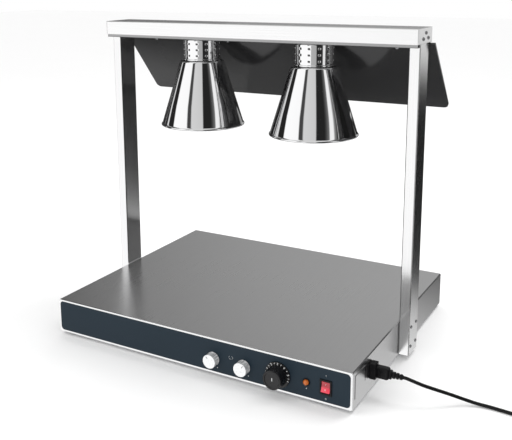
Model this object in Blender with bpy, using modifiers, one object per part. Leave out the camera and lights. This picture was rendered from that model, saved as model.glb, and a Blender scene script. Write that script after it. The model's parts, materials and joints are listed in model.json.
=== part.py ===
"""A heated display base with two infrared lamps on a fixed gantry and a rear sneeze guard.

Metres, +Z up, +X along the base to the right of someone at the controls, +Y to the back.
The origin is on the table, under the middle of the object without its mains lead.
"""

import math

import bmesh
import bpy
import numpy as np
from mathutils import Matrix, Vector

# Driving dimensions
GAP = 0.0003
SHEET = 0.0015
FOOT_HEIGHT = 0.008
BASE_LENGTH = 0.750
BASE_DEPTH = 0.608
BASE_HEIGHT = 0.080
DIAL_REACH = 0.029
POST_WIDTH = 0.0242
POST_DEPTH = 0.058
BEAM_LENGTH = 0.8036
BEAM_FRONT = -0.0365
BEAM_BACK = 0.0563
BEAM_TOP = 0.7351
BEAM_EDGE = 0.7028
TRAY_UNDERSIDE = 0.6958
NOTCH_ROOM = 0.0006
LAMP_OFFSET = 0.1493
LAMP_SET_BACK = -0.0020
HOLE_PHASE = {"left": 17.0, "right": 9.0}
NECK_RADIUS = 0.044
SHADE_TOP = 0.6440
SHADE_MOUTH = 0.4858
SHADE_RADIUS = 0.1003
GUARD_WIDTH = 0.818
GUARD_THICKNESS = 0.005

# Places worked out from the driving dimensions
BASE_Y = DIAL_REACH / 2
LAMP_Y = BASE_Y + LAMP_SET_BACK
HALF = BASE_LENGTH / 2
BASE_FRONT = BASE_Y - BASE_DEPTH / 2
BASE_BACK = BASE_Y + BASE_DEPTH / 2
BASE_BOTTOM = FOOT_HEIGHT
BASE_TOP = FOOT_HEIGHT + BASE_HEIGHT
PANEL_THICKNESS = 0.0032
PANEL_BACK = BASE_FRONT + PANEL_THICKNESS
POCKET_DEPTH = 0.0020
OVERLAY_FRONT = BASE_FRONT + 0.0005
OVERLAY_THICKNESS = 0.0012
INNER_HALF = HALF - SHEET
COVER_BOTTOM = BASE_BOTTOM + 0.0012
COVER_TOP = COVER_BOTTOM + 0.0012
PLATE_UNDERSIDE = BASE_TOP - SHEET
POST_INNER = HALF + GAP
POST_OUTER = POST_INNER + POST_WIDTH
POST_TOP = BEAM_TOP - SHEET - 0.0005
BEAM_HALF = BEAM_LENGTH / 2

# Controls: x and z of each centre on the front panel
KNOBS = {"left": (0.0575, 0.0410), "right": (0.1325, 0.0410)}
KNOB_RADIUS = 0.0155
KNOB_REACH = 0.018
DIAL = (0.2130, 0.0440)
SKIRT_RADIUS = 0.0285
CAP_RADIUS = 0.0210
SHAFT_RADIUS = 0.0030
PILOT = (0.2767, 0.0446)
ROCKER = (0.3191, 0.0435)
ROCKER_TILT = math.radians(12)
BEZEL_OUT = 0.0020
PIVOT_DEPTH = 0.0062

# Fasteners: (y, z) on the outer faces of the posts and of the beam's ends
POST_SCREWS = [(BASE_Y + y, z) for y in (-0.0175, 0.0175) for z in (0.029, 0.075)]
BEAM_SCREWS = [(-0.0042, 0.7125), (0.0136, 0.7246), (0.0300, 0.7133)]
WIRE_HOLE = (BASE_Y, 0.0520)
FEED_HEIGHT = 0.7160
FOOT_PLACES = {
    "front_left": (-0.335, BASE_FRONT + 0.040),
    "front_right": (0.335, BASE_FRONT + 0.040),
    "rear_left": (-0.335, BASE_BACK - 0.040),
    "rear_right": (0.335, BASE_BACK - 0.040),
}

# Sneeze guard: the middle of its top and bottom edges in the YZ plane
GUARD_TOP = Vector((0.0, 0.0590, 0.6990))
GUARD_BOTTOM = Vector((0.0, 0.1924, 0.5428))
GUARD_BOLTS = (-0.322, -0.110, 0.110, 0.322)
GUARD_ALONG = (GUARD_BOTTOM - GUARD_TOP).normalized()
GUARD_NORMAL = Vector((0.0, -GUARD_ALONG.z, GUARD_ALONG.y))

# Mains lead
INLET_Y = -0.1910
INLET_Z = 0.0530
INLET_OUT = 0.0140
CONTACTS = [(-0.0020, -0.0070), (0.0020, 0.0), (-0.0020, 0.0070)]
LEAD_RADIUS = 0.0035
RELIEF_END = 0.4441
RELIEF_Z = 0.0522
COIL_CENTRE = (0.700, -0.0966)
COIL_OUTER_TURN = 0.0424
COIL_INNER_TURN = 0.0354
COIL_HEIGHT = 0.0213
LEAD_ROUTE = [
    (RELIEF_END + GAP, INLET_Y, RELIEF_Z),
    (RELIEF_END + 0.0070, INLET_Y, RELIEF_Z - 0.0001),
    (0.4650, -0.1902, 0.0490),
    (0.4850, -0.1850, 0.0425),
    (0.5080, -0.1730, 0.0335),
    (0.5310, -0.1580, 0.0230),
    (0.5540, -0.1450, 0.0130),
    (0.5780, -0.1370, 0.0062),
    (0.6040, -0.1340, 0.0040),
    (0.6330, -0.1355, 0.0035),
    (0.6750 - GAP, -0.1390, 0.0035),
]

FRONT = (math.pi / 2, 0.0, 0.0)
RIGHT = (0.0, math.pi / 2, 0.0)
UPRIGHT = (0.0, 0.0, 0.0)

FINISHES = {
    "brushed_plate": ((0.42, 0.42, 0.43), 0.32, 1.0),
    "brushed_steel": ((0.62, 0.62, 0.63), 0.30, 1.0),
    "polished": ((0.80, 0.80, 0.81), 0.06, 1.0),
    "satin_knob": ((0.80, 0.81, 0.82), 0.25, 1.0),
    "zinc": ((0.55, 0.56, 0.57), 0.40, 1.0),
    "slate": ((0.026, 0.040, 0.050), 0.45, 0.0),
    "smoked": ((0.035, 0.035, 0.037), 0.12, 0.0),
    "black": ((0.012, 0.012, 0.013), 0.45, 0.0),
    "rubber": ((0.02, 0.02, 0.02), 0.80, 0.0),
    "amber": ((0.90, 0.25, 0.02), 0.15, 0.0),
    "red": ((0.75, 0.03, 0.06), 0.25, 0.0),
    "mica": ((0.70, 0.66, 0.58), 0.80, 0.0),
    "silicone": ((0.45, 0.08, 0.04), 0.60, 0.0),
    "porcelain": ((0.85, 0.84, 0.80), 0.20, 0.0),
    "glass": ((0.75, 0.76, 0.76), 0.08, 0.0),
    "cream": ((0.75, 0.72, 0.60), 0.50, 0.0),
}


def clear_scene():
    for thing in list(bpy.data.objects):
        bpy.data.objects.remove(thing, do_unlink=True)


def collection(name):
    made = bpy.data.collections.new(name)
    bpy.context.scene.collection.children.link(made)
    return made


def finish(name):
    """The material of one finish, made once."""
    if name in bpy.data.materials:
        return bpy.data.materials[name]
    colour, roughness, metallic = FINISHES[name]
    made = bpy.data.materials.new(name)
    made.use_nodes = True
    shader = made.node_tree.nodes["Principled BSDF"]
    shader.inputs["Base Color"].default_value = (*colour, 1.0)
    shader.inputs["Roughness"].default_value = roughness
    shader.inputs["Metallic"].default_value = metallic
    made.diffuse_color = (*colour, 1.0)
    return made


def add(name, mesh, look, at=(0, 0, 0), turn=UPRIGHT):
    """A part, or a cutter when look is None."""
    made = bpy.data.objects.new(name, mesh)
    made.location = at
    made.rotation_euler = turn
    if look is None:
        CUTTERS.objects.link(made)
        made.hide_render = True
        made.display_type = "WIRE"
    else:
        PARTS.objects.link(made)
        mesh.materials.append(finish(look))
    return made


def bevel(piece, width, segments=1):
    made = piece.modifiers.new("edges", "BEVEL")
    made.width = width
    made.segments = segments
    made.limit_method = "ANGLE"
    made.angle_limit = math.radians(40)


def join(piece, other, operation="DIFFERENCE"):
    made = piece.modifiers.new(other.name, "BOOLEAN")
    made.operation = operation
    made.solver = "EXACT"
    made.object = other


def block_mesh(name, low, high, centre=(0, 0, 0), dropped=()):
    """A box between two corners, less the faces whose outward directions are in dropped."""
    shape = bmesh.new()
    bmesh.ops.create_cube(shape, size=1.0)
    size = Vector(high) - Vector(low)
    middle = (Vector(high) + Vector(low)) / 2 - Vector(centre)
    bmesh.ops.scale(shape, vec=size, verts=shape.verts)
    bmesh.ops.translate(shape, vec=middle, verts=shape.verts)
    shape.normal_update()
    open_sides = [f for f in shape.faces for d in dropped if f.normal.dot(Vector(d)) > 0.9]
    bmesh.ops.delete(shape, geom=open_sides, context="FACES_ONLY")
    made = bpy.data.meshes.new(name)
    shape.to_mesh(made)
    shape.free()
    return made


def block(name, low, high, look, edge=0.0, turn=UPRIGHT):
    """A box between two corners, with its origin in its middle."""
    at = tuple((Vector(low) + Vector(high)) / 2)
    made = add(name, block_mesh(name, low, high, at), look, at, turn)
    if edge:
        bevel(made, edge)
    return made


def tray(name, low, high, look, dropped, edge=0.002, sheet=SHEET):
    """Folded sheet: a box without its dropped sides, its wall growing inwards."""
    at = tuple((Vector(low) + Vector(high)) / 2)
    made = add(name, block_mesh(name, low, high, at, dropped), look, at)
    if edge:
        bevel(made, edge)
    wall = made.modifiers.new("wall", "SOLIDIFY")
    wall.thickness = sheet
    wall.offset = -1.0
    wall.use_even_offset = True
    return made


def turned_mesh(name, outline, closed=False):
    """A profile of (radius, height) points as edges, for a Screw modifier round Z."""
    count = len(outline)
    edges = [(i, i + 1) for i in range(count - 1)]
    if closed:
        edges.append((count - 1, 0))
    made = bpy.data.meshes.new(name)
    made.from_pydata([(r, 0.0, h) for r, h in outline], edges, [])
    return made


def turned(name, outline, look, at, turn=UPRIGHT, steps=32, closed=False):
    """A turned piece; its outline runs down the outer side, and closed makes it a ring."""
    made = add(name, turned_mesh(name, outline, closed), look, at, turn)
    spin = made.modifiers.new("turn", "SCREW")
    spin.axis = "Z"
    spin.angle = math.tau
    spin.steps = steps
    spin.render_steps = steps
    spin.use_merge_vertices = True
    spin.merge_threshold = 0.00001
    spin.use_smooth_shade = True
    return made


def as_mesh(piece):
    """The evaluated mesh of an object, with the object removed."""
    bpy.context.view_layer.update()
    seen = piece.evaluated_get(bpy.context.evaluated_depsgraph_get())
    made = bpy.data.meshes.new_from_object(seen)
    bpy.data.objects.remove(piece, do_unlink=True)
    return made


def welded(mesh, distance=0.000001):
    shape = bmesh.new()
    shape.from_mesh(mesh)
    bmesh.ops.remove_doubles(shape, verts=shape.verts, dist=distance)
    bmesh.ops.recalc_face_normals(shape, faces=shape.faces)
    shape.to_mesh(mesh)
    shape.free()
    return mesh


def outline_mesh(name, points, thickness):
    """A flat outline given a thickness, as a filled 2D curve made into a mesh."""
    curve = bpy.data.curves.new(name, "CURVE")
    curve.dimensions = "2D"
    curve.fill_mode = "BOTH"
    curve.extrude = thickness / 2
    spline = curve.splines.new("POLY")
    spline.points.add(len(points) - 1)
    for point, (x, y) in zip(spline.points, points, strict=True):
        point.co = (x, y, 0.0, 1.0)
    spline.use_cyclic_u = True
    drawn = bpy.data.objects.new(name, curve)
    bpy.context.scene.collection.objects.link(drawn)
    return welded(as_mesh(drawn))


def plate(name, points, thickness, look, at, turn=UPRIGHT):
    return add(name, outline_mesh(name, points, thickness), look, at, turn)


def rounded_rectangle(width, height, radius, steps=5):
    """Corner arcs of a rectangle centred on the origin, counter-clockwise."""
    corners = []
    for quarter, (sx, sy) in enumerate(((1, 1), (-1, 1), (-1, -1), (1, -1))):
        cx, cy = sx * (width / 2 - radius), sy * (height / 2 - radius)
        for angle in np.linspace(quarter, quarter + 1, steps) * math.pi / 2:
            corners.append((cx + radius * math.cos(angle), cy + radius * math.sin(angle)))
    return corners


def holes(name, places, radius, depth, turn=UPRIGHT, sides=6):
    """One cutter of many cylinders, each centred on its place with its axis turned."""
    shape = bmesh.new()
    spin = rotation(turn)
    for place in places:
        bmesh.ops.create_cone(
            shape,
            cap_ends=True,
            segments=sides,
            radius1=radius,
            radius2=radius,
            depth=depth,
            matrix=Matrix.Translation(place) @ spin,
        )
    mesh = bpy.data.meshes.new(name)
    shape.to_mesh(mesh)
    shape.free()
    return add(name, mesh, None)


def slots(name, boxes):
    """One cutter of many boxes, each given by two corners."""
    shape = bmesh.new()
    for low, high in boxes:
        size = Vector(high) - Vector(low)
        where = Matrix.Translation((Vector(high) + Vector(low)) / 2)
        bmesh.ops.create_cube(shape, size=1.0, matrix=where @ Matrix.Diagonal((*size, 1.0)))
    mesh = bpy.data.meshes.new(name)
    shape.to_mesh(mesh)
    shape.free()
    return add(name, mesh, None)


def rotation(turn):
    x, y, z = turn
    return Matrix.Rotation(z, 4, "Z") @ Matrix.Rotation(y, 4, "Y") @ Matrix.Rotation(x, 4, "X")


def copies(name, mesh, places):
    """Separate copies of one mesh, each moved by a matrix, for a Boolean to join on."""
    shape = bmesh.new()
    for place in places:
        copy = mesh.copy()
        copy.transform(place)
        shape.from_mesh(copy)
        bpy.data.meshes.remove(copy)
    made = bpy.data.meshes.new(name)
    shape.to_mesh(made)
    shape.free()
    return add(name, made, None)


def spun(outline, steps, closed=False):
    """The finished mesh of a turned piece, to be copied by gather."""
    return as_mesh(turned("template", outline, "zinc", (0, 0, 0), steps=steps, closed=closed))


def screw_outline(head, shank, length, height):
    """A domed head on a plain shank, its underside at height 0 and its shank below."""
    return [
        (0.0, height),
        (head * 0.70, height * 0.85),
        (head, 0.0),
        (shank, 0.0),
        (shank, -length),
        (0.0, -length),
    ]


def tube(name, points, radius, look, sides=2, at=(0, 0, 0)):
    """A round wire along a list of points, with filled ends."""
    curve = bpy.data.curves.new(name, "CURVE")
    curve.dimensions = "3D"
    curve.bevel_depth = radius
    curve.bevel_resolution = sides
    curve.use_fill_caps = True
    spline = curve.splines.new("POLY")
    spline.points.add(len(points) - 1)
    for point, place in zip(spline.points, points, strict=True):
        point.co = (*place, 1.0)
    made = bpy.data.objects.new(name, curve)
    made.location = at
    if look is None:
        bpy.context.scene.collection.objects.link(made)
    else:
        PARTS.objects.link(made)
        curve.materials.append(finish(look))
    return made


def solid_tube(name, points, radius):
    """A wire made into a closed mesh, to be joined on by a Boolean."""
    drawn = tube(name, [tuple(p) for p in points], radius, None, 0)
    return add(name, welded(as_mesh(drawn)), None)


def smooth_route(points, step):
    """Points about step apart on the Catmull-Rom curve through a route's own points."""
    p = np.array(points, float)
    p = np.vstack([2 * p[0] - p[1], p, 2 * p[-1] - p[-2]])
    made = []
    for a, b, c, d in zip(p[:-3], p[1:-2], p[2:-1], p[3:], strict=True):
        count = max(2, round(float(np.linalg.norm(c - b)) / step))
        t = np.arange(count)[:, None] / count
        made.append(
            0.5
            * (
                2 * b
                + (c - a) * t
                + (2 * a - 5 * b + 4 * c - d) * t**2
                + (3 * b - 3 * c + d - a) * t**3
            )
        )
    made.append(p[-2][None])
    return np.vstack(made)


def make_casing():
    """The heated top folded down at both sides and the back."""
    casing = tray(
        "top_casing",
        (-HALF, PANEL_BACK + GAP, BASE_BOTTOM),
        (HALF, BASE_BACK, BASE_TOP),
        "brushed_plate",
        dropped=[(0, 0, -1), (0, -1, 0)],
    )
    places = [(side * HALF, y, z) for side in (-1, 1) for y, z in POST_SCREWS]
    join(casing, holes("casing_screw_holes", places, 0.0028, 0.02, RIGHT))
    wires = [(side * HALF, *WIRE_HOLE) for side in (-1, 1)]
    join(casing, holes("casing_wire_holes", wires, 0.0050, 0.02, RIGHT))
    opening = [
        (
            (HALF - 0.01, INLET_Y - 0.0088, INLET_Z - 0.0158),
            (HALF + 0.01, INLET_Y + 0.0088, INLET_Z + 0.0158),
        )
    ]
    join(casing, slots("inlet_opening", opening))


def control_holes(name, front, back):
    """A cutter through the front for the shafts and the pilot, from front to back."""
    middle = (front + back) / 2
    spots = [*KNOBS.values(), DIAL]
    places = [(x, middle, z) for x, z in spots]
    return holes(name, places, SHAFT_RADIUS + 0.0012, back - front, FRONT, 12)


def make_front():
    """The front panel with its raised rim, and the dark overlay in the rim's pocket."""
    middle = (BASE_FRONT + PANEL_BACK) / 2
    height = (BASE_BOTTOM + BASE_TOP) / 2
    outer = rounded_rectangle(BASE_LENGTH, BASE_HEIGHT, 0.0030, 4)
    panel = plate("front_panel", outer, PANEL_THICKNESS, "polished", (0, middle, height), FRONT)
    rim = 0.004
    inner = rounded_rectangle(BASE_LENGTH - 2 * rim, BASE_HEIGHT - 2 * rim, 0.008)
    pocket = plate(
        "panel_pocket", inner, 2 * POCKET_DEPTH, None, (0, BASE_FRONT, height), FRONT
    )
    join(panel, pocket)
    lesser = rim + GAP
    overlay = plate(
        "control_overlay",
        rounded_rectangle(BASE_LENGTH - 2 * lesser, BASE_HEIGHT - 2 * lesser, 0.008 - GAP),
        OVERLAY_THICKNESS,
        "slate",
        (0, OVERLAY_FRONT + OVERLAY_THICKNESS / 2, height),
        FRONT,
    )
    for piece, tag in ((panel, "panel"), (overlay, "overlay")):
        join(piece, control_holes(tag + "_shaft_holes", BASE_FRONT - 0.01, PANEL_BACK + 0.01))
        pilot = [(PILOT[0], middle, PILOT[1])]
        join(piece, holes(tag + "_pilot_hole", pilot, 0.0053, 0.02, FRONT, 12))
        x, z = ROCKER
        cut = [((x - 0.0110, BASE_FRONT - 0.01, z - 0.0150), (x + 0.0110, PANEL_BACK + 0.01, z + 0.0150))]
        join(piece, slots(tag + "_rocker_hole", cut))


def make_underside():
    """The bottom cover with its air slots, the four feet and their screws."""
    front, back = PANEL_BACK + 2 * GAP, BASE_BACK - SHEET - GAP
    cover = plate(
        "bottom_cover",
        rounded_rectangle(2 * (INNER_HALF - GAP), back - front, 0.0030, 3),
        COVER_TOP - COVER_BOTTOM,
        "zinc",
        (0, (front + back) / 2, (COVER_BOTTOM + COVER_TOP) / 2),
    )
    vents = []
    for side in (-1, 1):
        for row in range(5):
            x = side * (0.110 + 0.018 * row)
            vents.append(((x - 0.0025, 0.09, COVER_BOTTOM - 0.01), (x + 0.0025, 0.14, COVER_TOP + 0.01)))
    join(cover, slots("vent_slots", vents))
    join(
        cover,
        holes("foot_screw_holes", [(x, y, COVER_TOP) for x, y in FOOT_PLACES.values()], 0.0028, 0.02),
    )
    top = COVER_BOTTOM - GAP
    outline = [
        (0.0, COVER_TOP + 0.0060),
        (0.0020, COVER_TOP + 0.0060),
        (0.0020, top),
        (0.0175, top),
        (0.0175, 0.0020),
        (0.0160, 0.0),
        (0.0065, 0.0),
        (0.0065, 0.0040),
        (0.0, 0.0040),
    ]
    for place, (x, y) in FOOT_PLACES.items():
        turned("foot_" + place, outline, "rubber", (x, y, 0), steps=16)


def make_heating():
    """What warms the plate: a silicone heater mat, insulation, and the thermostat's sensor."""
    mat_top = PLATE_UNDERSIDE - 2 * GAP
    block("heater_mat", (-0.330, -0.205, mat_top - 0.002), (0.330, 0.300, mat_top), "silicone")
    board_top = mat_top - 0.002 - GAP
    block(
        "insulation_board",
        (-0.335, -0.210, board_top - 0.012),
        (0.335, 0.305, board_top),
        "mica",
    )
    x, z = DIAL
    level = board_top - 0.012 - GAP - 0.0030
    sensor = turned(
        "sensor_bulb",
        [(0.0, 0.040), (0.0030, 0.038), (0.0030, -0.038), (0.0, -0.040)],
        "zinc",
        (x - 0.1505, -0.1600, level),
        RIGHT,
        12,
    )
    route = smooth_route(
        [
            (x, -0.2517, z + 0.006),
            (x, -0.2400, z + 0.007),
            (x - 0.010, -0.2200, level - 0.012),
            (x - 0.040, -0.1900, level - 0.004),
            (x - 0.080, -0.1650, level),
            (x - 0.1150, -0.1600, level),
        ],
        0.012,
    )
    join(sensor, solid_tube("capillary", route, 0.0009), "UNION")


def make_lamp_controls():
    """Two lamp regulators behind the panel, their shafts and their silver knobs."""
    for side, (x, z) in KNOBS.items():
        at = (x, BASE_FRONT, z)
        back = -PANEL_THICKNESS - GAP
        turned(
            "lamp_control_" + side,
            [
                (0.0033, back),
                (0.0135, back),
                (0.0135, back - 0.018),
                (0.0, back - 0.018),
                (0.0, back - 0.012),
                (0.0033, back - 0.012),
            ],
            "black",
            at,
            FRONT,
            20,
            closed=True,
        )
        turned(
            "lamp_shaft_" + side,
            [
                (0.0, KNOB_REACH - 0.0045),
                (SHAFT_RADIUS, KNOB_REACH - 0.0045),
                (SHAFT_RADIUS, back - 0.011),
                (0.0, back - 0.011),
            ],
            "zinc",
            at,
            FRONT,
            12,
        )
        knob = turned(
            "knob_" + side,
            [
                (0.0, KNOB_REACH),
                (KNOB_RADIUS - 0.0010, KNOB_REACH),
                (KNOB_RADIUS, KNOB_REACH - 0.0010),
                (KNOB_RADIUS, 0.0002),
                (0.0033, 0.0002),
                (0.0033, KNOB_REACH - 0.0040),
                (0.0, KNOB_REACH - 0.0040),
            ],
            "satin_knob",
            at,
            FRONT,
            24,
        )
        notch = [
            (
                (x - 0.0007, BASE_FRONT - KNOB_REACH - 0.001, z + 0.0075),
                (x + 0.0007, BASE_FRONT - KNOB_REACH + 0.0006, z + 0.0170),
            )
        ]
        join(knob, slots("knob_notch_" + side, notch))


def make_thermostat():
    """The thermostat behind the panel, its shaft, and the two-piece dial."""
    x, z = DIAL
    at = (x, BASE_FRONT, z)
    back = PANEL_BACK + GAP
    low, high = (x - 0.018, back, z - 0.018), (x + 0.018, back + 0.034, z + 0.018)
    body = block("thermostat_body", low, high, "cream", 0.001)
    join(body, holes("thermostat_bore", [(x, back, z)], 0.0034, 0.026, FRONT, 12))
    turned(
        "thermostat_shaft",
        [
            (0.0, 0.0180),
            (SHAFT_RADIUS, 0.0180),
            (SHAFT_RADIUS, -PANEL_THICKNESS - 0.0118),
            (0.0, -PANEL_THICKNESS - 0.0118),
        ],
        "zinc",
        at,
        FRONT,
        12,
    )
    turned(
        "dial_skirt",
        [
            (0.0033, 0.0036),
            (0.0265, 0.0036),
            (SKIRT_RADIUS, 0.0024),
            (SKIRT_RADIUS, 0.0004),
            (0.0033, 0.0004),
        ],
        "black",
        at,
        FRONT,
        32,
        closed=True,
    )
    cap = turned(
        "dial_cap",
        [
            (0.0, DIAL_REACH - 0.0008),
            (0.0165, DIAL_REACH - 0.0008),
            (0.0170, DIAL_REACH),
            (CAP_RADIUS - 0.0015, DIAL_REACH),
            (CAP_RADIUS, DIAL_REACH - 0.0015),
            (CAP_RADIUS + 0.0020, 0.0039),
            (0.0033, 0.0039),
            (0.0033, 0.0184),
            (0.0, 0.0184),
        ],
        "black",
        at,
        FRONT,
        24,
    )
    grips = []
    for index in range(12):
        angle = math.radians(15 + 30 * index)
        reach = CAP_RADIUS + 0.0035
        grips.append((x + reach * math.sin(angle), BASE_FRONT - 0.0200, z + reach * math.cos(angle)))
    join(cap, holes("cap_flutes", grips, 0.0036, 0.024, FRONT, 6))


def make_pilot():
    """The amber pilot light: its bezel and barrel, and the domed lens."""
    x, z = PILOT
    at = (x, OVERLAY_FRONT, z)
    turned(
        "pilot_holder",
        [
            (0.0062, 0.0020),
            (0.0074, 0.0020),
            (0.0080, 0.0012),
            (0.0080, GAP),
            (0.0049, GAP),
            (0.0049, -0.0250),
            (0.0, -0.0250),
            (0.0, -0.0200),
            (0.0030, -0.0200),
            (0.0030, 0.0006),
            (0.0062, 0.0006),
        ],
        "black",
        at,
        FRONT,
        20,
        closed=True,
    )
    dome = [(0.0, 0.0080)]
    dome += [(0.0058 * math.sin(a), 0.0028 + 0.0052 * math.cos(a)) for a in np.radians([30, 60, 90])]
    dome += [(0.0058, 0.0009), (0.0, 0.0009)]
    turned("pilot_lens", dome, "amber", at, FRONT, 20)


def make_rocker():
    """The power rocker, pressed in at its top, and the housing that it tilts in."""
    x, z = ROCKER
    face = OVERLAY_FRONT - BEZEL_OUT - GAP
    bezel = block(
        "rocker_housing",
        (x - 0.0130, face, z - 0.0165),
        (x + 0.0130, OVERLAY_FRONT - GAP, z + 0.0165),
        "black",
        0.0006,
    )
    barrel = block(
        "rocker_barrel",
        (x - 0.0107, face + 0.0010, z - 0.0147),
        (x + 0.0107, face + 0.0270, z + 0.0147),
        None,
    )
    join(bezel, barrel, "UNION")
    well = [((x - 0.0092, face - 0.001, z - 0.0125), (x + 0.0092, face + 0.0140, z + 0.0125))]
    join(bezel, slots("rocker_well", well))
    profile = [
        (-0.0108, 0.0075),
        (-0.0055, 0.0060),
        (0.0, 0.0055),
        (0.0055, 0.0060),
        (0.0108, 0.0075),
        (0.0108, 0.0045),
        (0.0075, -0.0045),
        (-0.0075, -0.0045),
        (-0.0108, 0.0045),
    ]
    paddle = outline_mesh("rocker", profile[::-1], 0.0178)
    paddle.transform(Matrix(((0, 0, 1, 0), (0, -1, 0, 0), (1, 0, 0, 0), (0, 0, 0, 1))))
    paddle.transform(Matrix.Rotation(-ROCKER_TILT, 4, "X"))
    add("rocker", welded(paddle), "red", (x, face + PIVOT_DEPTH, z))


def make_inside():
    """The terminal block, the earth stud, and the wires inside the base and the beam."""
    floor = COVER_TOP + GAP
    top = floor + 0.017
    terminals = block("terminal_block", (0.245, -0.232, floor), (0.305, -0.208, top), "cream", 0.001)
    clamps = [(0.253 + 0.011 * i, -0.220, top) for i in range(5)]
    join(terminals, holes("terminal_holes", clamps, 0.0022, 0.012))
    turned(
        "earth_stud",
        [
            (0.0, 0.016),
            (0.0024, 0.0155),
            (0.0024, 0.0060),
            (0.0050, 0.0058),
            (0.0050, 0.0),
            (0.0, 0.0),
        ],
        "zinc",
        (0.3400, -0.1500, floor),
        steps=12,
    )
    base_loom = [
        (0.3400, INLET_Y, 0.0520),
        (0.3300, -0.1850, 0.0400),
        (0.3100, -0.1900, 0.0300),
        (0.2750, -0.1850, 0.0220),
        (0.2000, -0.1900, 0.0200),
        (0.1400, -0.2100, 0.0260),
        (0.1150, -0.2300, 0.0340),
        (0.0950, -0.2500, 0.0400),
    ]
    feed_z = TRAY_UNDERSIDE + 0.0060
    inside_post = POST_INNER + POST_WIDTH / 2 - 0.001
    lamp_loom = [
        (inside_post, BASE_Y, 0.6400),
        (inside_post, BASE_Y, 0.6800),
        (inside_post, BASE_Y, 0.7000),
        (POST_INNER + 0.0060, BASE_Y, 0.7120),
        (POST_INNER, BASE_Y, FEED_HEIGHT),
        (POST_INNER - 0.0200, BASE_Y, FEED_HEIGHT),
        (0.2900, BASE_Y, feed_z),
        (0.0, BASE_Y, feed_z),
        (-LAMP_OFFSET, BASE_Y, feed_z),
    ]
    tube("base_loom", [tuple(p) for p in smooth_route(base_loom, 0.020)], 0.0025, "mica", 1)
    tube("lamp_loom", [tuple(p) for p in smooth_route(lamp_loom, 0.030)], 0.0020, "mica", 1)


def make_posts():
    """Two rectangular tubes, closed at the foot, bolted to the sides of the base."""
    screw = spun(screw_outline(0.0040, 0.0020, 0.0320, 0.0024), 8)
    for side, sign in (("left", -1), ("right", 1)):
        inner, outer = sign * POST_INNER, sign * POST_OUTER
        post = tray(
            "post_" + side,
            (min(inner, outer), BASE_Y - POST_DEPTH / 2, BASE_BOTTOM),
            (max(inner, outer), BASE_Y + POST_DEPTH / 2, POST_TOP),
            "brushed_steel",
            dropped=[(0, 0, 1)],
        )
        middle = sign * (POST_INNER + POST_OUTER) / 2
        through = [(middle, y, z) for y, z in POST_SCREWS]
        join(post, holes("post_screw_holes_" + side, through, 0.0028, 0.04, RIGHT))
        join(post, holes("post_wire_hole_" + side, [(inner, *WIRE_HOLE)], 0.0050, 0.01, RIGHT))
        feed = [(inner, BASE_Y, FEED_HEIGHT)]
        join(post, holes("post_feed_hole_" + side, feed, 0.0050, 0.01, RIGHT))
        caps = [(outer, y, z) for y, z in BEAM_SCREWS]
        join(post, holes("post_beam_holes_" + side, caps, 0.0033, 0.01, RIGHT))
        aim = Matrix.Rotation(sign * math.pi / 2, 4, "Y")
        inside = sign * (INNER_HALF - GAP)
        tapped = block(
            "post_screws_" + side,
            (min(inside, inside - sign * 0.003), BASE_Y - 0.0240, 0.0220),
            (max(inside, inside - sign * 0.003), BASE_Y + 0.0240, 0.0820),
            "zinc",
        )
        join(tapped, holes("tapped_wire_hole_" + side, [(inside, *WIRE_HOLE)], 0.0050, 0.01, RIGHT))
        heads = [Matrix.Translation((outer + sign * GAP, y, z)) @ aim for y, z in POST_SCREWS]
        join(tapped, copies("post_screw_set_" + side, screw, heads), "UNION")


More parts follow.
